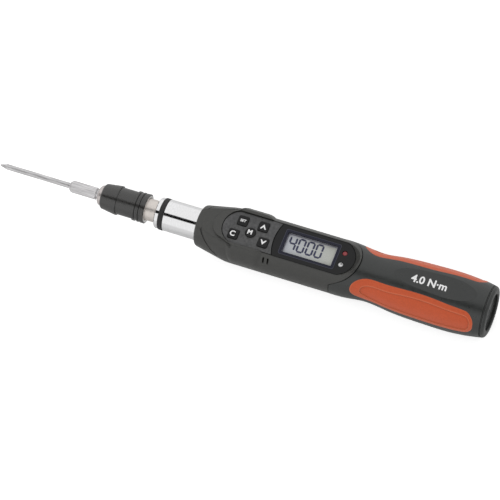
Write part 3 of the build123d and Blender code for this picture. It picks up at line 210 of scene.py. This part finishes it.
def moulded(name, colour, rough, grain=3500.0, depth=0.25, shade=0.12, edge=0.25 * MM, shine=0.5, rim=None,
            rim_reach=1.0 * MM, crease_shade=0.0, reach=1.2 * MM, level=None, sheen=0.0):
    """Moulded plastic or rubber: fine grain, a little uneven in tone and gloss.

    It takes a rim of painted highlight or painted shade (as the rim colour is lighter or darker), painted shade in
    creases, painted shade on a level face at a height and a soft sheen if asked.
    """
    material, tree, shader, coordinate = new_material(name)
    shader.inputs["Specular IOR Level"].default_value = shine
    shader.inputs["Sheen Weight"].default_value = sheen
    dark = [c * (1 - shade) for c in colour]
    light = [c * (1 + shade) for c in colour]
    base = tint(tree, noise(tree, coordinate, grain * 0.35, 4), dark, light)
    if rim:
        # painted highlight or painted shade along the edges, by the rim colour
        base = painted_edge_highlight_and_shade(tree, base, rim, rim_reach)
    if crease_shade:
        # painted shade in gaps and inner corners
        base = painted_crease_shade(tree, base, crease_shade, reach)
    if level:
        # painted shade on the level face
        base = painted_face_shade(tree, base, coordinate, level)
    tree.links.new(base, shader.inputs["Base Color"])
    tree.links.new(spread(tree, noise(tree, coordinate, grain * 0.1, 3), rough - 0.06, rough + 0.06),
                   shader.inputs["Roughness"])
    rough_up(tree, shader, noise(tree, coordinate, grain, 2), depth, 0.05 * MM, edge)
    return material


def metal(name, colour, rough, streak=(1, 1, 1), scale=2500.0, depth=0.05, edge=0.12 * MM, shade=0.06):
    """Metal with fine turning or brushing marks; streak stretches them."""
    material, tree, shader, coordinate = new_material(name)
    shader.inputs["Metallic"].default_value = 1.0
    dark = [c * (1 - shade) for c in colour]
    light = [min(1.0, c * (1 + shade)) for c in colour]
    tree.links.new(tint(tree, noise(tree, coordinate, scale * 0.3, 3, streak), dark, light),
                   shader.inputs["Base Color"])
    tree.links.new(spread(tree, noise(tree, coordinate, scale * 0.5, 3, streak), rough * 0.8, rough * 1.25),
                   shader.inputs["Roughness"])
    rough_up(tree, shader, noise(tree, coordinate, scale, 2, streak), depth, 0.02 * MM, edge)
    return material


def gloss(name, colour, rough=0.08, shine=0.5):
    """Polished plastic with faint haze."""
    material, tree, shader, coordinate = new_material(name)
    shader.inputs["Specular IOR Level"].default_value = shine
    tree.links.new(tint(tree, noise(tree, coordinate, 180, 3), [c * 0.94 for c in colour], colour),
                   shader.inputs["Base Color"])
    tree.links.new(spread(tree, noise(tree, coordinate, 400, 3), rough * 0.8, rough * 1.3),
                   shader.inputs["Roughness"])
    return material


def lamp(name, colour, glow, dark_spot=None):
    """Domed lamp lens: tinted plastic that scatters a little light of its own, round a darker spot if it has one."""
    material, tree, shader, coordinate = new_material(name)
    base = tint(tree, noise(tree, coordinate, 900, 3), [c * 0.7 for c in colour], colour)
    if dark_spot:
        place, radius = dark_spot
        away = tree.nodes.new("ShaderNodeVectorMath")
        away.operation = "DISTANCE"
        away.inputs[1].default_value = place
        mask = tree.nodes.new("ShaderNodeMapRange")
        mask.inputs["From Min"].default_value = radius * 0.7
        mask.inputs["From Max"].default_value = radius * 1.3
        mask.inputs["To Min"].default_value = DARK_SPOT_TONE
        tree.links.new(coordinate, away.inputs[0])
        tree.links.new(away.outputs["Value"], mask.inputs["Value"])
        base = dimmed(tree, base, mask.outputs["Result"])
    tree.links.new(base, shader.inputs["Base Color"])
    shader.inputs["Roughness"].default_value = 0.12
    shader.inputs["Emission Color"].default_value = (*colour, 1)
    shader.inputs["Emission Strength"].default_value = glow
    return material


def pane(name):
    """Clear pane: nearly see-through, with a faint cool tint."""
    material, tree, shader, coordinate = new_material(name)
    tree.links.new(tint(tree, noise(tree, coordinate, 120, 2), (0.02, 0.022, 0.03), (0.03, 0.032, 0.045)),
                   shader.inputs["Base Color"])
    shader.inputs["Roughness"].default_value = 0.05
    shader.inputs["Alpha"].default_value = 0.06
    return material


def display(name, front_colour_and_reflection, rear_colour):
    """Display glass: a faint change of tone from its front to its rear end; the bluish tone at the front end is a
    painted reflection.
    """
    material, tree, shader, coordinate = new_material(name)
    low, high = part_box("lcd_module")
    parts = tree.nodes.new("ShaderNodeSeparateXYZ")
    place = tree.nodes.new("ShaderNodeMapRange")
    place.inputs["From Min"].default_value = low.x
    place.inputs["From Max"].default_value = high.x
    ramp = tree.nodes.new("ShaderNodeValToRGB")
    ramp.color_ramp.elements[0].color = (*front_colour_and_reflection, 1)
    ramp.color_ramp.elements[1].color = (*rear_colour, 1)
    tree.links.new(coordinate, parts.inputs["Vector"])
    tree.links.new(parts.outputs["X"], place.inputs["Value"])
    tree.links.new(place.outputs["Result"], ramp.inputs["Fac"])
    tree.links.new(ramp.outputs["Color"], shader.inputs["Base Color"])
    tree.links.new(spread(tree, noise(tree, coordinate, 400, 3), 0.3, 0.45), shader.inputs["Roughness"])
    return material


LABEL_FACE = 30.6 * MM           # height of the level face that carries the rating, above the floor
LABEL_FACE_SHADE = 0.75                # painted shade: its tone against the skin round it, for how light falls on the level face
LABEL_BORDER = (0.04 * MM, 0.01 * MM)   # the painted shade fades in between these depths below the face
DARK_SPOT_TONE = 0.12                 # the white lamp's dark spot against its lens
DARK_SPOT_RADIUS = 0.5 * MM
DARK_SPOT_SHIFT = Vector((0.25 * MM, 0.35 * MM, 0))   # off the middle of the lens


def top_middle(node):
    """The middle of a node's top."""
    low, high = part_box(node)
    return Vector(((low.x + high.x) / 2, (low.y + high.y) / 2, high.z))


TURNED = (6, 1, 1)               # marks that run round the axis: short along X
DRAWN = (1, 12, 12)              # marks that run along the axis
materials = {
    "bit_steel": metal("bit_steel", (0.64, 0.63, 0.635), 0.38, DRAWN, scale=350.0, shade=0.2),
    "spindle_steel": metal("spindle_steel", (0.62, 0.575, 0.56), 0.34, TURNED),
    "shaft_steel": metal("shaft_steel", (0.74, 0.69, 0.65), 0.36, TURNED),
    "clip_steel": metal("clip_steel", (0.8, 0.8, 0.8), 0.2, TURNED),
    "sleeve_black": moulded("sleeve_black", (0.014, 0.0135, 0.0125), 0.27, depth=0.04, shine=1.0),
    "plated": metal("plated", (0.88, 0.88, 0.885), 0.11, TURNED, depth=0.012),
    "seal_rubber": moulded("seal_rubber", (0.02, 0.02, 0.02), 0.55, depth=0.15, shine=0.35),
    "bush_bronze": metal("bush_bronze", (0.6, 0.42, 0.2), 0.3, TURNED),
    "gauge_film": moulded("gauge_film", (0.6, 0.35, 0.1), 0.4),
    # housing: painted shade in creases
    "housing_black": moulded("housing_black", (0.032, 0.032, 0.029), 0.34, depth=0.2, edge=0.6 * MM, shine=0.65,
                             crease_shade=0.45),
    # plate: painted shade, a darker rim along its edges and in creases
    "plate_grey": moulded("plate_grey", (0.074, 0.074, 0.075), 0.55, grain=2200.0, depth=0.45, shade=0.22, shine=0.4,
                          rim=(0.012, 0.012, 0.012), rim_reach=0.4 * MM, crease_shade=0.5),
    "key_black": moulded("key_black", (0.011, 0.011, 0.0115), 0.5, depth=0.12, shine=0.25),
    "bezel_gloss": gloss("bezel_gloss", (0.011, 0.0112, 0.0115), 0.1, shine=0.25),
    "window_clear": pane("window_clear"),
    # display: painted reflection, a bluish tone at its front end
    "lcd_grey": display("lcd_grey", (0.57, 0.59, 0.64), (0.57, 0.58, 0.52)),
    "holder_black": moulded("holder_black", (0.02, 0.02, 0.02), 0.5),
    "lamp_red": lamp("lamp_red", (0.25, 0.04, 0.045), 0.12),
    "lamp_white": lamp("lamp_white", (0.7, 0.7, 0.7), 0.05, (top_middle("led_white") + DARK_SPOT_SHIFT, DARK_SPOT_RADIUS)),
    "board_green": moulded("board_green", (0.02, 0.15, 0.05), 0.35),
    "screw_steel": metal("screw_steel", (0.1, 0.1, 0.1), 0.35, TURNED),
    # handle: painted shade in creases and on the level face
    "handle_rubber": moulded("handle_rubber", (0.02, 0.022, 0.021), 0.33, depth=0.2, shine=0.65, crease_shade=0.6,
                             level=LABEL_FACE),
    # pads: painted highlight, a lighter rim along their edges; painted shade in creases
    "pad_orange": moulded("pad_orange", (0.54, 0.082, 0.021), 0.5, depth=0.3, shade=0.06, shine=0.4,
                          rim=(0.66, 0.15, 0.06), crease_shade=0.5, sheen=0.25),
    "cell_wrap": metal("cell_wrap", (0.15, 0.15, 0.17), 0.3),
    # cap: painted highlight, a lighter rim along its edges; painted shade in creases and its cup
    "cap_black": moulded("cap_black", (0.022, 0.024, 0.023), 0.4, shine=0.5, rim=(0.07, 0.07, 0.07), crease_shade=0.9,
                         reach=3.0 * MM),
}
for subpart in frame["record"]["subparts"]:
    mesh = nodes[subpart["node"]].data
    mesh.materials.clear()
    mesh.materials.append(materials[subpart["material_slot"]])


# Meshes and print shared by the new pieces

def print_material(name, colour, rough=0.5):
    """Printed ink with a slightly uneven tone."""
    return moulded(name, colour, rough, grain=5000.0, depth=0.05, shade=0.05, edge=0.0)


def mesh_piece(name, build, material, body):
    """A new mesh piece that a function fills, given a material and set on a body."""
    mesh = bpy.data.meshes.new(name)
    piece = bpy.data.objects.new(name, mesh)
    bpy.context.scene.collection.objects.link(piece)
    form = bmesh.new()
    build(form)
    bmesh.ops.recalc_face_normals(form, faces=form.faces)
    form.to_mesh(mesh)
    form.free()
    mesh.materials.append(material)
    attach(piece, body)
    return piece


def slab(form, outline, low, high):
    """A thin plate from a flat outline of (x, y) points."""
    foot = [form.verts.new((x, y, low)) for x, y in outline]
    top = [form.verts.new((x, y, high)) for x, y in outline]
    form.faces.new(top)
    form.faces.new(foot[::-1])
    for i in range(len(outline)):
        j = (i + 1) % len(outline)
        form.faces.new((foot[i], foot[j], top[j], top[i]))


def lettering(name, text, centre, height, material, body, bold=0.0):
    """Raised print lying flat, read from the near side, as a mesh."""
    curve = bpy.data.curves.new(name, "FONT")
    curve.body = text
    curve.size = height / 0.7
    curve.align_x, curve.align_y = "CENTER", "CENTER"
    curve.offset = bold
    curve.extrude = PRINT_DEPTH / 2
    curve.resolution_u = 4
    holder = bpy.data.objects.new(name + "_text", curve)
    bpy.context.scene.collection.objects.link(holder)
    bpy.context.view_layer.update()
    mesh = bpy.data.meshes.new_from_object(holder.evaluated_get(bpy.context.evaluated_depsgraph_get()))
    bpy.data.objects.remove(holder)
    mesh.transform(Matrix.Translation(centre + Vector((0, 0, PRINT_DEPTH / 2))))
    mesh.materials.clear()
    mesh.materials.append(material)
    piece = bpy.data.objects.new(name, mesh)
    bpy.context.scene.collection.objects.link(piece)
    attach(piece, body)
    return piece


def chevron(form, centre, half_width, half_height, thickness, up):
    """An arrow head of two bars, as one outline."""
    s = 1 if up else -1
    x, y, z = centre
    outline = [(x - half_width, y - s * half_height), (x, y + s * half_height), (x + half_width, y - s * half_height),
               (x + half_width - thickness * 0.9, y - s * half_height), (x, y + s * (half_height - 1.9 * thickness)),
               (x - half_width + thickness * 0.9, y - s * half_height)]
    slab(form, outline if up else outline[::-1], z, z + PRINT_DEPTH)


# Printed key legends

PRINT_DEPTH = 0.04 * MM
CHEVRON = (1.75 * MM, 1.45 * MM, 0.85 * MM)   # half width, half height and bar thickness
LEGENDS = (  # piece, text, key, body, height, thickening, shift along X
    ("legend_set", "SET", "button_unit", "unit_key", 1.5 * MM, 0.05 * MM, 0),
    ("legend_clear", "C", "button_clear", "clear_key", 3.0 * MM, 0.13 * MM, -0.5 * MM),
    ("legend_mode", "M", "button_mode", "mode_key", 2.5 * MM, 0.15 * MM, -0.35 * MM),
)
ink_white = print_material("ink_white", (0.85, 0.85, 0.85))
for name, text, key, body, height, bold, shift in LEGENDS:
    lettering(name, text, top_middle(key) + Vector((shift, 0, 0)), height, ink_white, body, bold)
for name, key, body, up in (("legend_up", "button_up", "up_key", True),
                            ("legend_down", "button_down", "down_key", False)):
    mesh_piece(name, lambda form, key=key, up=up: chevron(form, top_middle(key), *CHEVRON, up), ink_white, body)


# Display digits

SEGMENTS = {"4": "bcfg", "0": "abcdef"}
READING = "4000"
DIGIT_HEIGHT = 7.6 * MM
DIGIT_WIDTH = 3.4 * MM
DIGIT_PITCH = 5.1 * MM
DIGIT_START = 4.7 * MM           # front edge of the display to the middle of the first digit
DIGIT_LIFT = 0.8 * MM            # middle of the display to the middle of the digits, toward the far side
SEGMENT_WIDTH = 1.1 * MM
SEGMENT_GAP = 0.06 * MM
SEGMENT_DEPTH = 0.02 * MM


def bar(form, a, b, width, low, high):
    """A segment with pointed ends between two points."""
    a, b = Vector(a), Vector(b)
    along = (b - a).normalized()
    across = Vector((-along.y, along.x)) * (width / 2)
    a, b = a + along * SEGMENT_GAP, b - along * SEGMENT_GAP
    near, far = a + along * width / 2, b - along * width / 2
    outline = [a, near - across, far - across, b, far + across, near + across]
    slab(form, [(p.x, p.y) for p in outline], low, high)


def digits(form):
    low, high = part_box("lcd_module")
    middle = (low.y + high.y) / 2 + DIGIT_LIFT
    window_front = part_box("display_window")[0].x
    for place, figure in enumerate(READING):
        x = window_front + DIGIT_START + place * DIGIT_PITCH
        w, h = DIGIT_WIDTH / 2, DIGIT_HEIGHT / 2
        ends = {"a": ((x - w, middle + h), (x + w, middle + h)), "g": ((x - w, middle), (x + w, middle)),
                "d": ((x - w, middle - h), (x + w, middle - h)), "f": ((x - w, middle), (x - w, middle + h)),
                "b": ((x + w, middle), (x + w, middle + h)), "e": ((x - w, middle - h), (x - w, middle)),
                "c": ((x + w, middle - h), (x + w, middle))}
        for segment in SEGMENTS[figure]:
            bar(form, *ends[segment], SEGMENT_WIDTH, high.z, high.z + SEGMENT_DEPTH)


ink_segment = print_material("ink_segment", (0.035, 0.037, 0.085), 0.4)
mesh_piece("lcd_digits", digits, ink_segment, "tool")


# Frame round the display and the band printed round its window

def rounded(low, high, corner, steps=6):
    """Outline of a rectangle with round corners, from two opposite corners."""
    outline = []
    for cx, cy, first in ((high[0] - corner, high[1] - corner, 0), (low[0] + corner, high[1] - corner, 90),
                          (low[0] + corner, low[1] + corner, 180), (high[0] - corner, low[1] + corner, 270)):
        for step in range(steps + 1):
            angle = math.radians(first + 90 * step / steps)
            outline.append((cx + corner * math.cos(angle), cy + corner * math.sin(angle)))
    return outline


def hoop(form, outer, inner, low, high):
    """A flat ring between two outlines with the same number of points."""
    rings = [[form.verts.new((x, y, z)) for x, y in outline]
             for outline, z in ((outer, low), (outer, high), (inner, high), (inner, low))]
    count = len(outer)
    for i in range(4):
        for j in range(count):
            k = (j + 1) % count
            form.faces.new((rings[i][j], rings[i][k], rings[(i + 1) % 4][k], rings[(i + 1) % 4][j]))


def window_hoop(grow_outer, grow_inner, corner_outer, corner_inner, foot, rise):
    """A ring round the window's opening, each outline grown from it by a margin."""
    low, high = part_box("display_window")

    def build(form):
        outlines = [rounded((low.x + PANE_LIP - grow, low.y + PANE_LIP - grow),
                            (high.x - PANE_LIP + grow, high.y - PANE_LIP + grow), corner)
                    for grow, corner in ((grow_outer, corner_outer), (grow_inner, corner_inner))]
        hoop(form, *outlines, foot, foot + rise)
    return build


PANE_LIP = 0.9 * MM              # how far the pane runs under the bezel
lcd_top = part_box("lcd_module")[1].z
bezel_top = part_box("display_bezel")[1].z
frame_grey = print_material("frame_grey", (0.27, 0.27, 0.32))
band_navy = gloss("band_navy", (0.012, 0.013, 0.026), 0.12, shine=0.25)
line_navy = print_material("line_navy", (0.035, 0.036, 0.055))
HOOPS = (  # piece, material, outer and inner growth, outer and inner corner, foot, rise
    ("lcd_frame", frame_grey, 0.3 * MM, -0.55 * MM, 0.3 * MM, 0.2 * MM, lcd_top, 0.03 * MM),
    ("window_band", band_navy, 1.5 * MM, 0.05 * MM, 1.0 * MM, 0.2 * MM, bezel_top, 0.012 * MM),
    ("window_line", line_navy, 1.7 * MM, 1.45 * MM, 1.1 * MM, 0.95 * MM, bezel_top, 0.015 * MM),
)
for name, material, *sizes in HOOPS:
    mesh_piece(name, window_hoop(*sizes), material, "tool")


# Bright ring pressed into the sleeve's rear mouth

def lathe(form, profile, centre_y, centre_z, steps=96):
    """A ring turned about the tool's axis from a closed profile of (x, radius) points."""
    rings = []
    for step in range(steps):
        angle = 2 * math.pi * step / steps
        rings.append([form.verts.new((x, centre_y + r * math.cos(angle), centre_z + r * math.sin(angle)))
                      for x, r in profile])
    for step in range(steps):
        this, following = rings[step], rings[(step + 1) % steps]
        for i in range(len(profile)):
            j = (i + 1) % len(profile)
            form.faces.new((this[i], this[j], following[j], following[i]))


def mouth_ring(form):
    clip_low, clip_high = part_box("retaining_clip")
    bore = (clip_high.y - clip_low.y) / 2 + CLIP_PLAY
    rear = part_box("chuck_sleeve")[1].x
    front, face = rear - MOUTH_RING_LENGTH, rear + MOUTH_RING_PROUD
    inner, outer = bore - MOUTH_RING_DEPTH, bore + MOUTH_RING_LIP
    inner_chamfer, outer_chamfer, outer_drop = MOUTH_RING_CHAMFERS
    profile = [(front, bore), (front, inner), (face - inner_chamfer, inner), (face, inner + inner_chamfer),
               (face, outer - outer_chamfer), (face - outer_drop, outer), (rear, outer), (rear, bore)]
    lathe(form, profile, 0, axis_height)


CLIP_PLAY = 0.12 * MM            # clip's outside to the sleeve's bore
MOUTH_RING_LENGTH = 0.4 * MM
MOUTH_RING_DEPTH = 0.6 * MM      # reaches in toward the shaft
MOUTH_RING_LIP = 0.6 * MM        # lies on the sleeve's rear face
MOUTH_RING_PROUD = 0.06 * MM     # stands behind the sleeve's rear face
MOUTH_RING_CHAMFERS = (0.08 * MM, 0.06 * MM, 0.05 * MM)   # inner edge, outer edge across and along the axis
mesh_piece("mouth_ring", mouth_ring, metal("ring_steel", (0.72, 0.71, 0.7), 0.25, TURNED), "sleeve")


# Spring in the chuck, wound in place of the modelled one at its length; the real spring shortens as the sleeve is
# drawn back

def wound_spring(form):
    low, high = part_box("chuck_spring")
    radial, axial = SPRING_WIRE
    radius = (high.z - low.z - radial) / 2
    front, rear = low.x + axial / 2, high.x - axial / 2
    count = round(SPRING_TURNS * SPRING_STEPS)
    sections = []
    for i in range(count + 1):
        angle = 2 * math.pi * i / SPRING_STEPS
        x = front + (rear - front) * i / count
        sections.append([form.verts.new((x + sx * axial / 2, (radius + sr * radial / 2) * math.cos(angle),
                                         axis_height + (radius + sr * radial / 2) * math.sin(angle)))
                         for sx, sr in ((-1, -1), (1, -1), (1, 1), (-1, 1))])
    form.faces.new(sections[0])
    form.faces.new(sections[-1][::-1])
    for this, following in zip(sections, sections[1:]):
        for i in range(4):
            j = (i + 1) % 4
            form.faces.new((this[i], this[j], following[j], following[i]))


SPRING_TURNS = 4.5
SPRING_STEPS = 48                # facets in a turn
SPRING_WIRE = (0.7 * MM, 1.0 * MM)   # radial and axial size of the flat wire
spring = mesh_piece("sleeve_spring", wound_spring, materials["shaft_steel"], "tool")
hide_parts("chuck_spring")
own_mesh(spring)


# Handle with a level face planed across its belly, and the plain rating printed there

def planed_handle(form):
    form.from_mesh(nodes["handle_body"].data)
    bmesh.ops.remove_doubles(form, verts=form.verts, dist=WELD)
    cut = bmesh.ops.bisect_plane(form, geom=form.verts[:] + form.edges[:] + form.faces[:],
                                 plane_co=(0, 0, LABEL_FACE), plane_no=(0, 0, 1), clear_outer=True)
    rim = [part for part in cut["geom_cut"] if isinstance(part, bmesh.types.BMEdge)]
    bmesh.ops.holes_fill(form, edges=rim)
    for edge in form.edges:
        edge.smooth = edge.calc_face_angle(0) < SHARP_ANGLE
    for edge in rim:
        edge.smooth = False


WELD = 0.001 * MM                # vertices nearer than this are one
SHARP_ANGLE = math.radians(25)   # edges that turn more than this stay sharp
handle = mesh_piece("handle_shell", planed_handle, materials["handle_rubber"], "tool")
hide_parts("handle_body")


def wrap(piece, target, step):
    """Cut a flat print into small facets and lay it on the top of another piece's skin."""
    skin = BVHTree.FromPolygons([target.matrix_world @ v.co for v in target.data.vertices],
                                [p.vertices for p in target.data.polygons])
    form = bmesh.new()
    form.from_mesh(piece.data)
    for axis in (0, 1):
        low, high = (f(v.co[axis] for v in form.verts) for f in (min, max))
        for i in range(1, int((high - low) / step)):
            plane, normal = Vector(), Vector()
            plane[axis], normal[axis] = low + i * step, 1
            bmesh.ops.bisect_plane(form, geom=form.verts[:] + form.edges[:] + form.faces[:], plane_co=plane,
                                   plane_no=normal)
    middle = sum(v.co.z for v in form.verts) / len(form.verts)
    for vertex in form.verts:
        place = skin.ray_cast(Vector((vertex.co.x, vertex.co.y, 1.0)), Vector((0, 0, -1)))[0]
        vertex.co.z = place.z + (PRINT_DEPTH if vertex.co.z > middle else -PRINT_DEPTH)
    form.to_mesh(piece.data)
    form.free()


RATING = "4.0 N\u00b7m"
RATING_STATION = 194.8 * MM      # spindle nose to the middle of the print
RATING_OFFSET = -0.6 * MM
RATING_HEIGHT = 4.3 * MM
RATING_BOLD = 0.16 * MM
RATING_FACET = 0.5 * MM
rating = lettering("handle_rating", RATING, Vector((nose_x + RATING_STATION, RATING_OFFSET, 0)), RATING_HEIGHT,
                   ink_white, "tool", RATING_BOLD)
wrap(rating, handle, RATING_FACET)


# Camera at the photograph's angle

def camera_axes():
    """Right, down and toward-camera directions of the photograph, in the tool's frame."""
    tilt, roll, slope = AXIS_TILT, AXIS_ROLL, AXIS_SLOPE
    along = Vector((math.cos(tilt), math.sin(roll) * math.sin(tilt), -math.cos(roll) * math.sin(tilt)))
    down = Vector((0, -math.cos(roll), -math.sin(roll)))
    toward = Vector((math.sin(tilt), -math.sin(roll) * math.cos(tilt), math.cos(roll) * math.cos(tilt)))
    right = along * math.cos(slope) - down * math.sin(slope)
    below = along * math.sin(slope) + down * math.cos(slope)
    return right, below, toward


def add_camera():
    right, below, toward = camera_axes()
    data = bpy.data.cameras.new("photo_camera")
    data.sensor_width = 36.0
    data.lens = data.sensor_width * PIXELS_PER_METRE * CAMERA_DISTANCE / PHOTO_SIZE
    data.clip_end = 20.0
    camera = bpy.data.objects.new("photo_camera", data)
    bpy.context.scene.collection.objects.link(camera)
    across, down = (PHOTO_SIZE / 2 - pixel for pixel in ANCHOR_PIXEL)
    offset = (right * across + below * down) / PIXELS_PER_METRE
    camera.matrix_world = (Matrix.Translation(anchor + toward * CAMERA_DISTANCE + offset)
                           @ Matrix((right, -below, toward)).transposed().to_4x4())
    bpy.context.scene.camera = camera


add_camera()


# Stage: pale floor, soft lamps and a long dark flag that shows only in reflections

def add_floor():
    bpy.ops.mesh.primitive_plane_add(size=6.0, location=(0, 0, cad_box[0].z))
    floor = bpy.context.object
    floor.name = "floor"
    material = bpy.data.materials.new("floor_paper")
    material.use_nodes = True
    tree = material.node_tree
    tree.nodes.clear()
    output = tree.nodes.new("ShaderNodeOutputMaterial")
    paper = tree.nodes.new("ShaderNodeBsdfDiffuse")
    paper.inputs["Color"].default_value = (0.8, 0.8, 0.8, 1)
    white = tree.nodes.new("ShaderNodeEmission")
    white.inputs["Color"].default_value = (1, 1, 1, 1)
    path = tree.nodes.new("ShaderNodeLightPath")
    seen = tree.nodes.new("ShaderNodeMath")
    seen.operation = "MAXIMUM"
    lift = tree.nodes.new("ShaderNodeMath")
    lift.operation = "MULTIPLY"
    lift.inputs[1].default_value = FLOOR_LIFT
    both = tree.nodes.new("ShaderNodeAddShader")
    tree.links.new(path.outputs["Is Camera Ray"], seen.inputs[0])
    tree.links.new(path.outputs["Is Transmission Ray"], seen.inputs[1])
    tree.links.new(seen.outputs[0], lift.inputs[0])
    tree.links.new(lift.outputs[0], white.inputs["Strength"])
    tree.links.new(paper.outputs[0], both.inputs[0])
    tree.links.new(white.outputs[0], both.inputs[1])
    tree.links.new(both.outputs[0], output.inputs["Surface"])
    floor.data.materials.append(material)


def add_softbox(name, place, size, power):
    """A rectangular soft lamp that faces the tool."""
    data = bpy.data.lights.new(name, "AREA")
    data.shape = "RECTANGLE"
    data.size, data.size_y = size
    data.energy = power
    box = bpy.data.objects.new(name, data)
    bpy.context.scene.collection.objects.link(box)
    box.location = place
    box.rotation_mode = "QUATERNION"
    box.rotation_quaternion = (anchor - Vector(place)).to_track_quat("-Z", "Y")
    box.visible_glossy = False


def add_flag():
    """A dark strip along the tool on the camera's side, seen in reflections only."""
    toward = Vector((0, -math.sin(AXIS_ROLL), math.cos(AXIS_ROLL)))
    across = Vector((0, math.cos(AXIS_ROLL), math.sin(AXIS_ROLL)))
    middle = anchor + toward * FLAG_DISTANCE
    corners = [middle + Vector((sx * FLAG_LENGTH / 2, 0, 0)) + across * (sy * FLAG_WIDTH / 2)
               for sx, sy in ((-1, -1), (1, -1), (1, 1), (-1, 1))]
    mesh = bpy.data.meshes.new("flag")
    mesh.from_pydata(corners, [], [(0, 1, 2, 3)])
    flag = bpy.data.objects.new("flag", mesh)
    bpy.context.scene.collection.objects.link(flag)
    dark = bpy.data.materials.new("flag_black")
    dark.use_nodes = True
    shader = dark.node_tree.nodes["Principled BSDF"]
    shader.inputs["Base Color"].default_value = (0.005, 0.005, 0.005, 1)
    shader.inputs["Roughness"].default_value = 1.0
    shader.inputs["Specular IOR Level"].default_value = 0.0
    mesh.materials.append(dark)
    flag.visible_camera = False
    flag.visible_diffuse = False
    flag.visible_shadow = False


ROOM_LIGHT = 0.5                 # the world's light on the tool
MIRRORED_ROOM = 0.92             # the world as reflections show it
FLOOR_LIFT = 0.6                 # glow that lifts the floor to white for the camera
FLAG_DISTANCE = 0.7
FLAG_LENGTH = 6.0
FLAG_WIDTH = 0.26
SOFTBOX_SIZE = (3.0, 1.4)
add_floor()
add_softbox("far_softbox", (0.1, 1.6, 1.0), SOFTBOX_SIZE, 18)
add_softbox("near_softbox", (-0.7, -1.25, 1.35), SOFTBOX_SIZE, 19)
add_flag()

world = bpy.data.worlds.new("studio")
world.use_nodes = True
background = world.node_tree.nodes["Background"]
background.inputs["Color"].default_value = (1, 1, 1, 1)
path = world.node_tree.nodes.new("ShaderNodeLightPath")
seen_level = world.node_tree.nodes.new("ShaderNodeMix")
seen_level.inputs["A"].default_value = ROOM_LIGHT
seen_level.inputs["B"].default_value = 1.0
mirrored_level = world.node_tree.nodes.new("ShaderNodeMix")
mirrored_level.inputs["B"].default_value = MIRRORED_ROOM
world.node_tree.links.new(path.outputs["Is Camera Ray"], seen_level.inputs["Factor"])
world.node_tree.links.new(seen_level.outputs["Result"], mirrored_level.inputs["A"])
world.node_tree.links.new(path.outputs["Is Glossy Ray"], mirrored_level.inputs["Factor"])
world.node_tree.links.new(mirrored_level.outputs["Result"], background.inputs["Strength"])
bpy.context.scene.world = world
bpy.context.scene.view_settings.view_transform = "Standard"
